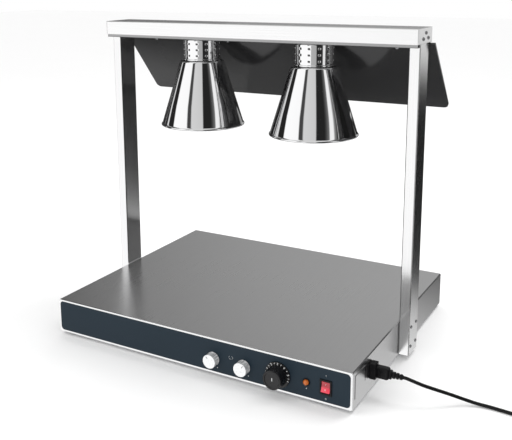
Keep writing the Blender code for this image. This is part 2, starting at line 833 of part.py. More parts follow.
def make_beam():
    """The folded beam, its end caps, the tray that closes it from below, and the cap screws."""
    cap_inner = BEAM_HALF - SHEET
    cover = tray(
        "beam_cover",
        (-cap_inner + GAP, BEAM_FRONT, BEAM_EDGE),
        (cap_inner - GAP, BEAM_BACK, BEAM_TOP),
        "brushed_steel",
        dropped=[(0, 0, -1), (-1, 0, 0), (1, 0, 0)],
        edge=0.0015,
    )
    screw = spun(screw_outline(0.0042, 0.0024, 0.0125, 0.0022), 8)
    for side, sign in (("left", -1), ("right", 1)):
        low, high = sorted((sign * cap_inner, sign * BEAM_HALF))
        cap = block(
            "beam_cap_" + side,
            (low, BEAM_FRONT, BEAM_EDGE),
            (high, BEAM_BACK, BEAM_TOP),
            "brushed_steel",
            0.0004,
        )
        spots = [(sign * cap_inner, y, z) for y, z in BEAM_SCREWS]
        join(cap, holes("cap_holes_" + side, spots, 0.0033, 0.01, RIGHT))
        aim = Matrix.Rotation(sign * math.pi / 2, 4, "Y")
        inside = sign * (POST_OUTER - SHEET - GAP)
        tapped = block(
            "beam_screws_" + side,
            (min(inside, inside - sign * 0.0025), -0.0105, 0.7070),
            (max(inside, inside - sign * 0.0025), 0.0365, 0.7305),
            "zinc",
        )
        heads = [Matrix.Translation((sign * (BEAM_HALF + GAP), y, z)) @ aim for y, z in BEAM_SCREWS]
        join(tapped, copies("beam_screw_set_" + side, screw, heads), "UNION")
    lining = tray(
        "beam_tray",
        (-cap_inner + 2 * GAP, BEAM_FRONT + SHEET + GAP, TRAY_UNDERSIDE),
        (cap_inner - 2 * GAP, BEAM_BACK - SHEET - GAP, 0.7110),
        "brushed_steel",
        dropped=[(0, 0, 1), (-1, 0, 0), (1, 0, 0)],
        edge=0.001,
        sheet=0.0012,
    )
    reach, deep = POST_WIDTH / 2 + NOTCH_ROOM, POST_DEPTH / 2 + NOTCH_ROOM
    notches = []
    for middle in (-(POST_INNER + POST_OUTER) / 2, (POST_INNER + POST_OUTER) / 2):
        low = (middle - reach, BASE_Y - deep, TRAY_UNDERSIDE - 0.01)
        high = (middle + reach, BASE_Y + deep, TRAY_UNDERSIDE + 0.01)
        notches.append((low, high))
    join(lining, slots("post_notches", notches))
    feeds = [(sign * LAMP_OFFSET, LAMP_Y, TRAY_UNDERSIDE) for sign in (-1, 1)]
    join(lining, holes("lamp_feed_holes", feeds, 0.0050, 0.02))


def shade_outline():
    """A spun shade: flat top with a hole, rounded shoulder, straight flare, rolled mouth."""
    wall = 0.0012
    shoulder = 0.0545
    outer = [
        (0.0385, SHADE_TOP),
        (0.0500, SHADE_TOP),
        (shoulder - 0.0012, SHADE_TOP - 0.0024),
        (shoulder, SHADE_TOP - 0.0070),
        (SHADE_RADIUS, SHADE_MOUTH + 0.0042),
        (SHADE_RADIUS + 0.0022, SHADE_MOUTH + 0.0026),
        (SHADE_RADIUS + 0.0014, SHADE_MOUTH),
    ]
    inner = [
        (SHADE_RADIUS - wall, SHADE_MOUTH + 0.0030),
        (shoulder - wall, SHADE_TOP - 0.0074),
        (0.0490, SHADE_TOP - wall),
        (0.0385, SHADE_TOP - wall),
    ]
    return outer + inner


def bulb_outline():
    """A reflector heat lamp: screw cap, glass neck, flared body and domed face."""
    return [
        (0.0, 0.6800),
        (0.0132, 0.6760),
        (0.0132, 0.6540),
        (0.0190, 0.6400),
        (0.0480, 0.5850),
        (0.0605, 0.5530),
        (0.0625, 0.5400),
        (0.0600, 0.5240),
        (0.0450, 0.5120),
        (0.0, 0.5070),
    ]


def make_lamps():
    """For each lamp its holder, perforated neck, shade, clamp ring and heat lamp."""
    neck_top = TRAY_UNDERSIDE - GAP
    neck_foot = SHADE_TOP + GAP
    neck = [
        (NECK_RADIUS, neck_top),
        (NECK_RADIUS, neck_foot + 0.0042),
        (NECK_RADIUS + 0.0016, neck_foot + 0.0034),
        (NECK_RADIUS + 0.0018, neck_foot + 0.0008),
        (NECK_RADIUS + 0.0014, neck_foot),
        (NECK_RADIUS - 0.0012, neck_foot),
        (NECK_RADIUS - 0.0012, neck_top),
    ]
    holder = [
        (0.0210, neck_top),
        (0.0210, 0.6560),
        (0.0190, 0.6530),
        (0.0142, 0.6530),
        (0.0142, 0.6830),
        (0.0030, 0.6830),
        (0.0030, neck_top),
    ]
    ring_top = SHADE_TOP - 0.0012 - GAP
    ring_low = ring_top - 0.0022
    ring = [(0.0460, ring_top), (0.0460, ring_low), (0.0350, ring_low), (0.0350, ring_top)]
    for side, x in (("left", -LAMP_OFFSET), ("right", LAMP_OFFSET)):
        at = (x, LAMP_Y, 0.0)
        shell = turned("neck_" + side, neck, "polished", at, steps=24, closed=True)
        places = []
        for row in range(3):
            for column in range(12):
                angle = math.radians(HOLE_PHASE[side] + 30 * column)
                places.append((angle, 0.657 + 0.014 * row))
        join(shell, neck_holes("neck_holes_" + side, at, places))
        turned("lamp_holder_" + side, holder, "porcelain", at, steps=16, closed=True)
        turned("shade_" + side, shade_outline(), "polished", at, steps=32, closed=True)
        turned("shade_ring_" + side, ring, "zinc", at, steps=16, closed=True)
        turned("bulb_" + side, bulb_outline(), "glass", at, steps=20)


def neck_holes(name, at, places):
    """Short radial cylinders through a neck's wall, at (angle, height) places."""
    shape = bmesh.new()
    for angle, height in places:
        where = Vector((NECK_RADIUS * math.cos(angle), NECK_RADIUS * math.sin(angle), height))
        aim = Matrix.Rotation(angle, 4, "Z") @ Matrix.Rotation(math.pi / 2, 4, "Y")
        bmesh.ops.create_cone(
            shape,
            cap_ends=True,
            segments=4,
            radius1=0.0023,
            radius2=0.0023,
            depth=0.010,
            matrix=Matrix.Translation(Vector(at) + where) @ aim,
        )
    mesh = bpy.data.meshes.new(name)
    shape.to_mesh(mesh)
    shape.free()
    return add(name, mesh, None)


def make_guard():
    """The smoked sheet behind the lamps, the strip that holds it, and its bolts and rivets."""
    length = (GUARD_BOTTOM - GUARD_TOP).length
    middle = (GUARD_TOP + GUARD_BOTTOM) / 2
    lean = math.atan2(GUARD_ALONG.y, -GUARD_ALONG.z)
    tilt = (math.pi / 2 + lean, 0.0, 0.0)
    sheet_points = rounded_rectangle(GUARD_WIDTH, length, 0.012, 6)
    square = [(x, y) if y < 0 else (math.copysign(GUARD_WIDTH / 2, x), length / 2) for x, y in sheet_points]
    outline = [p for i, p in enumerate(square) if p != square[i - 1]]
    sheet = plate("guard", outline, GUARD_THICKNESS, "smoked", middle, tilt)
    drop = GUARD_TOP + GUARD_ALONG * 0.0140
    bolt_places = [Vector((x, 0, 0)) + drop for x in GUARD_BOLTS]
    aim = Matrix.Rotation(tilt[0], 4, "X")
    join(sheet, tilted_holes("guard_holes", bolt_places, aim, 0.0029))
    lower = GUARD_TOP + GUARD_NORMAL * (GUARD_THICKNESS / 2 + GAP)
    upper = lower + GUARD_NORMAL * SHEET
    wall = BEAM_BACK + GAP

    def at_wall(point, y):
        return point + GUARD_ALONG * ((y - point.y) / GUARD_ALONG.y)

    profile = [
        at_wall(lower, wall),
        lower + GUARD_ALONG * 0.0240,
        upper + GUARD_ALONG * 0.0240,
        at_wall(upper, wall + SHEET),
        Vector((0, wall + SHEET, 0.7220)),
        Vector((0, wall, 0.7220)),
    ]
    strip_mesh = outline_mesh("guard_strip", [(p.y, p.z) for p in profile], 0.720)
    strip_mesh.transform(Matrix(((0, 0, 1, 0), (1, 0, 0, 0), (0, 1, 0, 0), (0, 0, 0, 1))))
    strip = add("guard_strip", welded(strip_mesh), "brushed_steel")
    join(strip, tilted_holes("strip_bolt_holes", bolt_places, aim, 0.0029))
    bolt = spun(screw_outline(0.0042, 0.0020, 0.0110, 0.0022), 8)
    under = -(GUARD_THICKNESS / 2 + GAP)
    over = GUARD_THICKNESS / 2 + 2 * GAP + SHEET
    tapped = block(
        "guard_bolts",
        (GUARD_BOLTS[0] - 0.010, drop.y - 0.0012, drop.z - 0.0050),
        (GUARD_BOLTS[-1] + 0.010, drop.y + 0.0012, drop.z + 0.0050),
        "zinc",
        turn=(lean, 0.0, 0.0),
    )
    tapped.location = drop + GUARD_NORMAL * (over + 0.0012)
    heads = [Matrix.Translation(p + GUARD_NORMAL * under) @ aim for p in bolt_places]
    join(tapped, copies("guard_bolt_set", bolt, heads), "UNION")


def tilted_holes(name, places, aim, radius):
    """A cutter of short cylinders whose axes lie along the turned Z of aim."""
    shape = bmesh.new()
    for place in places:
        bmesh.ops.create_cone(
            shape,
            cap_ends=True,
            segments=6,
            radius1=radius,
            radius2=radius,
            depth=0.03,
            matrix=Matrix.Translation(place) @ aim,
        )
    mesh = bpy.data.meshes.new(name)
    shape.to_mesh(mesh)
    shape.free()
    return add(name, mesh, None)


def make_inlet():
    """The mains inlet on the right side, with three pins in its recess, and the blank rating plate."""
    face = HALF + GAP + INLET_OUT
    inlet = block(
        "power_inlet",
        (HALF + GAP, INLET_Y - 0.0098, INLET_Z - 0.0172),
        (face, INLET_Y + 0.0098, INLET_Z + 0.0172),
        "black",
        0.0012,
    )
    barrel = block(
        "inlet_barrel",
        (0.3500, INLET_Y - 0.0085, INLET_Z - 0.0155),
        (HALF + 0.0050, INLET_Y + 0.0085, INLET_Z + 0.0155),
        None,
    )
    join(inlet, barrel, "UNION")
    recess_low = (face - 0.0165, INLET_Y - 0.0068, INLET_Z - 0.0135)
    recess_high = (face + 0.01, INLET_Y + 0.0068, INLET_Z + 0.0135)
    join(inlet, slots("inlet_recess", [(recess_low, recess_high)]))
    pins = []
    for y, z in CONTACTS:
        low = (face - 0.0200, INLET_Y + y - 0.0010, INLET_Z + z - 0.0020)
        high = (face - 0.0040, INLET_Y + y + 0.0010, INLET_Z + z + 0.0020)
        pins.append((low, high))
    join(inlet, slots("inlet_pins", pins), "UNION")
    block(
        "rating_plate",
        (HALF + GAP, -0.2755, 0.026),
        (HALF + GAP + 0.0006, -0.2215, 0.076),
        "brushed_steel",
    )


def make_lead():
    """The plug-in mains lead: connector, free cord, tied coil, and the mains plug."""
    face = HALF + GAP + INLET_OUT
    connector = block(
        "lead_connector",
        (face + GAP, INLET_Y - 0.0085, INLET_Z - 0.0128),
        (0.4155, INLET_Y + 0.0085, INLET_Z + 0.0120),
        "black",
        0.0025,
    )
    nose = block(
        "connector_nose",
        (face - 0.0158, INLET_Y - 0.0064, INLET_Z - 0.0131),
        (face + 0.0050, INLET_Y + 0.0064, INLET_Z + 0.0131),
        None,
        0.0006,
    )
    collar = block(
        "connector_collar",
        (0.4140, INLET_Y - 0.0080, RELIEF_Z - 0.0092),
        (0.4215, INLET_Y + 0.0080, RELIEF_Z + 0.0088),
        None,
        0.0015,
    )
    relief = [(0.0, RELIEF_END), (0.0048, RELIEF_END)]
    for ring in range(3):
        start = RELIEF_END - 0.0026 - 0.0072 * ring
        girth = 0.0056 + 0.0006 * ring
        groove = girth - 0.0018
        relief += [(girth, start), (girth, start - 0.0046)]
        relief += [(groove, start - 0.0054), (groove, start - 0.0066)]
    relief += [(0.0066, 0.4190), (0.0, 0.4190)]
    boot = turned("connector_relief", relief, None, (0, INLET_Y, RELIEF_Z), RIGHT, 10)
    for piece in (nose, collar, boot):
        join(connector, piece, "UNION")
    sockets = []
    for y, z in CONTACTS:
        low = (face - 0.0200, INLET_Y + y - 0.0014, INLET_Z + z - 0.0024)
        high = (face - 0.0030, INLET_Y + y + 0.0014, INLET_Z + z + 0.0024)
        sockets.append((low, high))
    join(connector, slots("connector_sockets", sockets))
    route = smooth_route(LEAD_ROUTE, 0.014)
    tube("mains_cord", [tuple(p) for p in route], LEAD_RADIUS, "black", 2)
    cx, cy = COIL_CENTRE
    inside, outside = COIL_INNER_TURN - LEAD_RADIUS - 0.0004, COIL_OUTER_TURN + LEAD_RADIUS
    turned(
        "cord_coil",
        [
            (outside - 0.0020, COIL_HEIGHT),
            (outside, COIL_HEIGHT - 0.0020),
            (outside, 0.0),
            (inside, 0.0),
            (inside, COIL_HEIGHT),
        ],
        "black",
        (cx, cy, 0.0),
        steps=24,
        closed=True,
    )
    thick = 0.0012
    clear = 2 * GAP + 0.0004
    strap = block(
        "coil_tie",
        (cx - outside - GAP - thick, cy - 0.0040, 0.0),
        (cx - inside + clear + thick, cy + 0.0040, COIL_HEIGHT + GAP + thick),
        "black",
    )
    room = [((cx - outside - GAP, cy - 0.01, -0.01), (cx - inside + clear, cy + 0.01, COIL_HEIGHT + GAP))]
    join(strap, slots("tie_room", room))
    tail = (cx + COIL_OUTER_TURN, cy + 0.0275, 0.0190)
    away = (-math.pi / 2, 0.0, 0.0)
    turned(
        "mains_plug",
        [
            (0.0, 0.0560),
            (0.0170, 0.0560),
            (0.0185, 0.0400),
            (0.0175, 0.0300),
            (0.0068, 0.0200),
            (0.0052, 0.0),
            (0.0, 0.0),
        ],
        "black",
        tail,
        away,
        16,
    )
    face_y = tail[1] + 0.0560 + GAP
    pin = spun([(0.0, 0.0190), (0.0016, 0.0186), (0.0024, 0.0170), (0.0024, -0.0005), (0.0, -0.0005)], 8)
    contacts = turned(
        "plug_pins",
        [(0.0, 0.0012), (0.0150, 0.0012), (0.0150, 0.0), (0.0, 0.0)],
        "zinc",
        (tail[0], face_y, tail[2]),
        away,
        16,
    )
    roots = [(tail[0] + x, face_y + 0.0010, tail[2]) for x in (-0.0095, 0.0095)]
    pins = [Matrix.Translation(root) @ rotation(away) for root in roots]
    join(contacts, copies("pin_pair", pin, pins), "UNION")


clear_scene()
PARTS = collection("heat_lamp_warmer")
CUTTERS = collection("cutters")
make_casing()
make_front()
make_underside()
make_heating()
make_lamp_controls()
make_thermostat()
make_pilot()
make_rocker()
make_inside()
make_posts()
make_beam()
make_lamps()
make_guard()
make_inlet()
make_lead()
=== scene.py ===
"""The heated display base with its two-lamp gantry: surfaces, finishes, floor, light and camera."""

import json
import math

import bmesh
import bpy
import numpy as np
from mathutils import Matrix, Vector


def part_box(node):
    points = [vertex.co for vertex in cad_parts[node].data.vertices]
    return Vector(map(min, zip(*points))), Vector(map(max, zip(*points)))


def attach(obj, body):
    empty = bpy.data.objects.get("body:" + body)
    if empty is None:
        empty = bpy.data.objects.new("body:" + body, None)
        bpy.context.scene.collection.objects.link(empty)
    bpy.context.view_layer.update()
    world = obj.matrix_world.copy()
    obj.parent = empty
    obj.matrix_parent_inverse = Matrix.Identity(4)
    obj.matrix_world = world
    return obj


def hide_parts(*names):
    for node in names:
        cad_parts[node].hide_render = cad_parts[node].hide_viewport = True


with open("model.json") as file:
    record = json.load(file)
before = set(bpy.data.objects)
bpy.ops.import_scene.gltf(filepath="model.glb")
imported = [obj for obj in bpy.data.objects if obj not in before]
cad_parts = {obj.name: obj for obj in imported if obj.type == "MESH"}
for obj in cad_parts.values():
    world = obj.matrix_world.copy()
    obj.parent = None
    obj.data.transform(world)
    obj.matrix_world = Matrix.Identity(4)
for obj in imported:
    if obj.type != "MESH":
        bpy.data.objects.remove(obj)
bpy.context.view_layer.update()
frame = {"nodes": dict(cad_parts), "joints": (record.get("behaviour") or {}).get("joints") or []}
NODES = frame["nodes"]

MM = 0.001
TURN = math.tau
FRONT_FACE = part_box("front_panel")[0].y
FILM_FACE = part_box("control_overlay")[0].y


# ---------------------------------------------------------------- shader maths


class Val:
    """A shader socket that takes part in arithmetic: each operator adds one Math node."""

    def __init__(self, look, socket):
        self.look = look
        self.socket = socket

    def _math(self, operation, *values):
        return self.look.node("ShaderNodeMath", {"operation": operation}, *values)

    def __add__(self, other):
        return self._math("ADD", self, other)

    def __radd__(self, other):
        return self._math("ADD", other, self)

    def __sub__(self, other):
        return self._math("SUBTRACT", self, other)

    def __rsub__(self, other):
        return self._math("SUBTRACT", other, self)

    def __mul__(self, other):
        return self._math("MULTIPLY", self, other)

    def __rmul__(self, other):
        return self._math("MULTIPLY", other, self)

    def __truediv__(self, other):
        return self._math("DIVIDE", self, other)

    def __gt__(self, other):
        return self._math("GREATER_THAN", self, other)

    def __lt__(self, other):
        return self._math("LESS_THAN", self, other)

    def clamp(self):
        return self.look.node("ShaderNodeClamp", {}, self)


# Outputs of the texture coordinate node: the direction in a world, and the object's own coordinates.
GENERATED = 0
OBJECT = 3


class Look:
    """One material, or the world, with the single method that makes all of its nodes.

    point holds the coordinates, in metres of the row frame for a material, and x, y and z split them.
    """

    def __init__(self, owner, space=OBJECT):
        owner.use_nodes = True
        self.owner = owner
        self.tree = owner.node_tree
        self.tree.nodes.clear()
        self.point = self.node("ShaderNodeTexCoord", out=space)
        split = self.node("ShaderNodeSeparateXYZ", {}, self.point).socket.node
        self.x, self.y, self.z = (Val(self, socket) for socket in split.outputs)

    def node(self, kind, settings=None, *values, out=0, **named):
        """A node of a kind: its settings first, then values or links, by order or by name."""
        made = self.tree.nodes.new(kind)
        for key, value in (settings or {}).items():
            if key == "stops":
                ramp = made.color_ramp
                while len(ramp.elements) < len(value):
                    ramp.elements.new(1.0)
                for stop, (place, tone) in zip(ramp.elements, value, strict=True):
                    stop.position = place
                    stop.color = (tone, tone, tone, 1.0)
            else:
                setattr(made, key, value)
        inputs = [(made.inputs[i], value) for i, value in enumerate(values)]
        inputs += [(made.inputs[key.replace("_", " ")], value) for key, value in named.items()]
        for socket, value in inputs:
            if isinstance(value, Val):
                self.tree.links.new(value.socket, socket)
            elif value is not None:
                colour = socket.type == "RGBA" and hasattr(value, "__len__")
                socket.default_value = (*value, 1.0) if colour else value
        return Val(self, made.outputs[out]) if made.outputs else None

    def scaled(self, x, y, z):
        """The coordinates stretched by a factor along each axis."""
        return self.node("ShaderNodeMapping", {}, self.point, Scale=(x, y, z))

    def noise(self, where, scale=1.0, detail=4.0):
        return self.node("ShaderNodeTexNoise", {}, Vector=where, Scale=scale, Detail=detail)

    def mix(self, factor, first, second):
        """A colour between two, each a triple or another mix: inputs 0, 6 and 7, and output 2, of the node."""
        return self.node("ShaderNodeMix", {"data_type": "RGBA"}, factor, *[None] * 5, first, second, out=2)

    def bump(self, height, strength, distance):
        return self.node("ShaderNodeBump", {}, Strength=strength, Distance=distance, Height=height)

    def surface(self, **named):
        """The Principled shader and the output, from socket names with _ for each space."""
        shader = self.node("ShaderNodeBsdfPrincipled", {}, **named)
        self.node("ShaderNodeOutputMaterial", {}, shader)
        return self.owner


def new_look(name):
    """A new material to be filled in."""
    return Look(bpy.data.materials.new(name))


def tint(base, factor):
    """A colour made lighter or darker by a factor, no part of it above 1."""
    return tuple(min(1.0, part * factor) for part in base)


# ---------------------------------------------------------------- finishes


def brushed(name, base, rough, along):
    """Stainless sheet with a fine grain running along one axis: noise squeezed across that axis."""
    look = new_look(name)
    stretch = [900.0, 900.0, 900.0]
    stretch["xyz".index(along)] = 6.0
    grain = look.noise(look.scaled(*stretch), 1.0, 3.0)
    broad = look.noise(look.point, 3.0, 2.0)
    return look.surface(
        Base_Color=look.mix(grain, tint(base, 0.93), tint(base, 1.06)),
        Metallic=1.0,
        Roughness=rough - 0.05 + 0.07 * grain + 0.05 * broad,
        Normal=look.bump(grain, 0.03, 0.02 * MM),
    )


def machined(name, base, rough, front):
    """Turned aluminium: streaks along the axis y, squeezed noise, that end at the bare face y = front."""
    look = new_look(name)
    streak = look.noise(look.scaled(420, 12, 420), 1.0, 2.0)
    bare = ((front - look.y) / MM).clamp()
    factor = ((streak - 0.30) * 3.4 + bare).clamp()
    return look.surface(
        Base_Color=look.mix(factor, tint(base, 0.36), base),
        Metallic=0.40,
        Roughness=rough + 0.10 * streak,
    )


def mirror_steel(name, base=(0.86, 0.86, 0.865), rough=0.035):
    """Polished steel with the faint smears and pits that handling leaves."""
    look = new_look(name)
    smear = look.noise(look.scaled(1, 1, 3), 18.0, 5.0)
    pits = look.noise(look.point, 900.0, 2.0)
    return look.surface(
        Base_Color=look.mix(pits, tint(base, 0.97), base),
        Metallic=1.0,
        Roughness=rough + 0.06 * (smear - 0.45).clamp(),
        Normal=look.bump(smear, 0.02, 0.2 * MM),
    )


def plastic(name, base, rough, grain=0.15, coat=0.0, scale=2500.0, shine=0.5):
    """Moulded plastic: a fine spark texture and slow changes of gloss."""
    look = new_look(name)
    spark = look.noise(look.point, scale, 2.0)
    slow = look.noise(look.point, 25.0, 3.0)
    return look.surface(
        Base_Color=look.mix(slow, tint(base, 0.9), tint(base, 1.08)),
        Roughness=rough - 0.06 + 0.12 * slow,
        Specular_IOR_Level=shine,
        Coat_Weight=coat,
        Coat_Roughness=0.05,
        Normal=look.bump(spark, grain, 0.03 * MM),
    )


def printed_film(name):
    """The slate control film: almost flat, with a fine tooth and low gloss."""
    look = new_look(name)
    tooth = look.noise(look.point, 3000.0, 2.0)
    slow = look.noise(look.scaled(1, 1, 2), 6.0, 2.0)
    return look.surface(
        Base_Color=look.mix(slow, (0.014, 0.026, 0.038), (0.018, 0.031, 0.044)),
        Roughness=0.42 + 0.08 * slow,
        Specular_IOR_Level=0.16,
        Normal=look.bump(tooth, 0.08, 0.02 * MM),
    )


def smoked_sheet(name):
    """Charcoal acrylic: dark, glossy, with faint haze."""
    look = new_look(name)
    haze = look.noise(look.point, 9.0, 4.0)
    return look.surface(
        Base_Color=look.mix(haze, (0.025, 0.025, 0.026), (0.031, 0.031, 0.032)),
        Roughness=0.07 + 0.08 * haze,
        Specular_IOR_Level=0.55,
    )


def lit_plastic(name, base, glow, strength, rough=0.16, shaded_above=1.0):
    """Clear coloured plastic with light behind it; the glow fades above a given height, painted shade over the
    top and a painted highlight below it.
    """
    look = new_look(name)
    cloud = look.noise(look.point, 220.0, 2.0)
    # Painted shade and highlight: the glow is cut off above a height, so the part above is painted darker and
    # the part below painted brighter.
    lit = ((shaded_above - look.z) / (4 * MM)).clamp() * 0.92 + 0.08
    return look.surface(
        Base_Color=look.mix(cloud, tint(base, 0.85), base),
        Roughness=rough + 0.08 * cloud,
        Coat_Weight=0.6,
        Coat_Roughness=0.05,
        Emission_Color=look.mix(lit * (0.6 + 0.5 * cloud), (0.0, 0.0, 0.0), glow),
        Emission_Strength=strength,
    )


def frosted_lamp(name):
    """A reflector lamp: clear frosted face below, silvered inside above, as Metallic by height."""
    look = new_look(name)
    silver = (look.z > 0.545) * (look.z < 0.645)
    cloud = look.noise(look.point, 60.0, 3.0)
    return look.surface(
        Base_Color=look.mix(cloud, (0.80, 0.79, 0.77), (0.88, 0.87, 0.85)),
        Metallic=silver * 0.9,
        Roughness=0.22 + 0.10 * cloud,
        Coat_Weight=0.5,
        Coat_Roughness=0.04,
    )


def plain_white(name):
    """Matt white ink, very slightly uneven."""
    look = new_look(name)
    spread = look.noise(look.point, 4000.0, 1.0)
    return look.surface(
        Base_Color=look.mix(spread, (0.70, 0.72, 0.72), (0.82, 0.83, 0.83)), Roughness=0.5
    )


PLATE_STEEL = brushed("plate_steel", (0.64, 0.64, 0.642), 0.28, "y")
FRAME_STEEL = brushed("frame_steel", (0.84, 0.84, 0.842), 0.17, "z")
BEAM_STEEL = brushed("beam_steel", (0.86, 0.86, 0.862), 0.20, "x")
# The beam tray is the beam's brushed stainless painted darker: painted shade under the beam's front edge.
TRAY_STEEL_PAINTED_SHADE = brushed("tray_steel_painted_shade", (0.36, 0.36, 0.362), 0.26, "x")
RIM_STEEL = brushed("rim_steel", (0.84, 0.84, 0.845), 0.18, "x")
POLISHED = mirror_steel("polished_steel")
KNOB_METAL = machined("knob_metal", (0.93, 0.94, 0.945), 0.20, front=FRONT_FACE - 0.0168)
SCREW_STEEL = mirror_steel("screw_steel", (0.50, 0.50, 0.51), 0.10)
ZINC = mirror_steel("zinc_steel", (0.70, 0.71, 0.73), 0.20)
FILM = printed_film("slate_film")
SMOKED = smoked_sheet("smoked_sheet")
BLACK = plastic("black_plastic", (0.005, 0.005, 0.006), 0.34, 0.20, shine=0.22)
DIAL_BLACK = plastic("dial_black", (0.006, 0.006, 0.007), 0.27, 0.10, shine=0.42)
SHEATH = plastic("cord_sheath", (0.005, 0.005, 0.005), 0.36, 0.10, shine=0.22)
RUBBER = plastic("foot_rubber", (0.014, 0.014, 0.014), 0.72, 0.35)
AMBER = lit_plastic("amber_lens", (0.50, 0.12, 0.015), (0.9, 0.22, 0.03), 0.12)
# The rocker's glow stops 45.5 mm up: painted shade on its upper part, painted highlight on its lower part.
RED = lit_plastic("red_rocker", (0.42, 0.012, 0.025), (1.0, 0.10, 0.16), 0.55, shaded_above=0.0455)
LAMP = frosted_lamp("lamp_glass")
WHITE_INK = plain_white("white_ink")
BOARD = plastic("insulation", (0.60, 0.57, 0.50), 0.85, 0.6, scale=600.0)
SILICONE = plastic("silicone", (0.30, 0.06, 0.03), 0.55, 0.4, scale=900.0)
PORCELAIN = plastic("porcelain", (0.78, 0.77, 0.73), 0.22, 0.03, 0.5)
CREAM = plastic("cream_plastic", (0.68, 0.65, 0.55), 0.45)
LOOM = plastic("loom_sleeve", (0.62, 0.60, 0.55), 0.70, 0.5, scale=1800.0)


# ---------------------------------------------------------------- surfaces


def piece(mesh, material, body, replaced=(), smooth=True):
    """A finished piece at the origin, riding on its body, standing for the CAD nodes it replaces."""
    made = bpy.data.objects.new(mesh.name, mesh)
    bpy.context.scene.collection.objects.link(made)
    if not mesh.materials:
        mesh.materials.append(material)
    if smooth:
        mesh.shade_smooth()
        mesh.set_sharp_from_angle(angle=math.radians(32))
    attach(made, body)
    if replaced:
        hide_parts(*replaced)
    return made


def grid_faces(rows, columns, wrap_rows, wrap_columns):
    """Quads of a rows by columns grid of points, joined end to start where it wraps."""
    i = np.arange(rows if wrap_rows else rows - 1)[:, None]
    j = np.arange(columns if wrap_columns else columns - 1)[None, :]
    down, across = (i + 1) % rows, (j + 1) % columns
    quads = (i * columns + j, down * columns + j, down * columns + across, i * columns + across)
    return np.stack([np.broadcast_to(q, (len(i), j.shape[1])) for q in quads], -1).reshape(-1, 4)


def mesh_of(name, points, faces):
    """A mesh of an array of points and a list of faces."""
    made = bpy.data.meshes.new(name)
    made.from_pydata(np.asarray(points, float).tolist(), [], [list(map(int, f)) for f in faces])
    made.update()
    return made


def sewn(mesh, place=None):
    """Doubles merged and faces pointing outwards, with the piece's place put into the mesh."""
    shape = bmesh.new()
    shape.from_mesh(mesh)
    bmesh.ops.remove_doubles(shape, verts=shape.verts, dist=1e-6)
    bmesh.ops.recalc_face_normals(shape, faces=shape.faces)
    shape.to_mesh(mesh)
    shape.free()
    if place is not None:
        mesh.transform(place)
    return mesh


def skinned(name, points, place=None):
    """A closed skin over rows of points, each row a ring, with a flat cap on the first and the last."""
    rows, count = points.shape[:2]
    faces = grid_faces(rows, count, False, True).tolist()
    faces += [list(range(count)), [(rows - 1) * count + k for k in range(count)][::-1]]
    return sewn(mesh_of(name, points.reshape(-1, 3), faces), place)


def fluted(name, rows, depth, flute, place=None, closed=False):
    """A turned shape with flutes: point (i, j) has radius r_i - depth s_i f_j and height h_i.

    Each row is (r, h, s), f is the wave round the axis, and point j of n is turned by 2 pi j / n.
    """
    radius, level, share = np.array(rows, float).T[:, :, None]
    angle = np.arange(len(flute)) / len(flute) * TURN
    reach = radius - depth * share * flute
    points = np.stack([reach * np.cos(angle), reach * np.sin(angle), level + 0 * angle], -1)
    faces = grid_faces(len(rows), len(flute), closed, True)
    return sewn(mesh_of(name, points.reshape(-1, 3), faces), place)


def turned(name, outline, place=None, steps=96, closed=False):
    """A profile of (radius, height) points turned about the axis."""
    return fluted(name, [(r, h, 0.0) for r, h in outline], 0.0, np.zeros(steps), place, closed)


def arc(centre, radius, start, end, count=6):
    """Points on an arc in the profile's plane, between two angles in degrees."""
    angle = np.radians(np.linspace(start, end, count))
    return [(centre[0] + radius * math.cos(a), centre[1] + radius * math.sin(a)) for a in angle]


def frames(path):
    """Side and up vectors along a path: each is the last one with its part along the path removed."""
    step = np.gradient(path, axis=0)
    ahead = step / np.linalg.norm(step, axis=1, keepdims=True)
    side = np.zeros_like(ahead)
    seed = np.array([0.0, 0.0, 1.0])
    for i, forward in enumerate(ahead):
        seed = seed - forward * seed.dot(forward)
        seed = seed / np.linalg.norm(seed)
        side[i] = seed
    return side, np.cross(ahead, side)


def swept(name, path, section):
    """A section's (a, b) points carried along an open path: point = path + a side + b up."""
    side, up = frames(path)
    a, b = section[:, 0], section[:, 1]
    spread = side[:, None, :] * a[None, :, None] + up[:, None, :] * b[None, :, None]
    return skinned(name, path[:, None, :] + spread)


def circle(radius, sides):
    """Points of a circle round the origin."""
    angle = np.arange(sides) / sides * TURN
    return np.stack([radius * np.cos(angle), radius * np.sin(angle)], -1)


def rounded_rectangle(width, height, radius, steps=6):
    """Corner arcs of a rectangle centred on the origin, counter-clockwise."""
    points = []
    for quarter, (sx, sy) in enumerate(((1, 1), (-1, 1), (-1, -1), (1, -1))):
        centre = (sx * (width / 2 - radius), sy * (height / 2 - radius))
        points += arc(centre, radius, 90 * quarter, 90 * quarter + 90, steps)
    return np.array(points)


def lofted(name, layers, place=None):
    """A closed skin through layers, each an outline of (a, b) points at its own height."""
    return skinned(name, np.array([[(a, b, height) for a, b in outline] for outline, height in layers]), place)


def soft_block(name, low, high, radius, steps=4):
    """A box whose every edge is a quarter round: rounded outlines that shrink into each end."""
    low, high = np.asarray(low, float), np.asarray(high, float)
    size = high - low
    middle = (low + high) / 2
    layers = []
    rising = np.linspace(0, math.pi / 2, steps)
    for end, angles in ((-1, rising), (1, rising[::-1])):
        for angle in angles:
            inset = radius * (1 - math.sin(angle))
            height = end * (size[2] / 2 - radius * (1 - math.cos(angle)))
            corner = max(radius - inset, 1e-5) + 1e-5
            outline = rounded_rectangle(size[0] - 2 * inset, size[1] - 2 * inset, corner, steps)
            layers.append((outline, height))
    return lofted(name, layers, Matrix.Translation(middle))


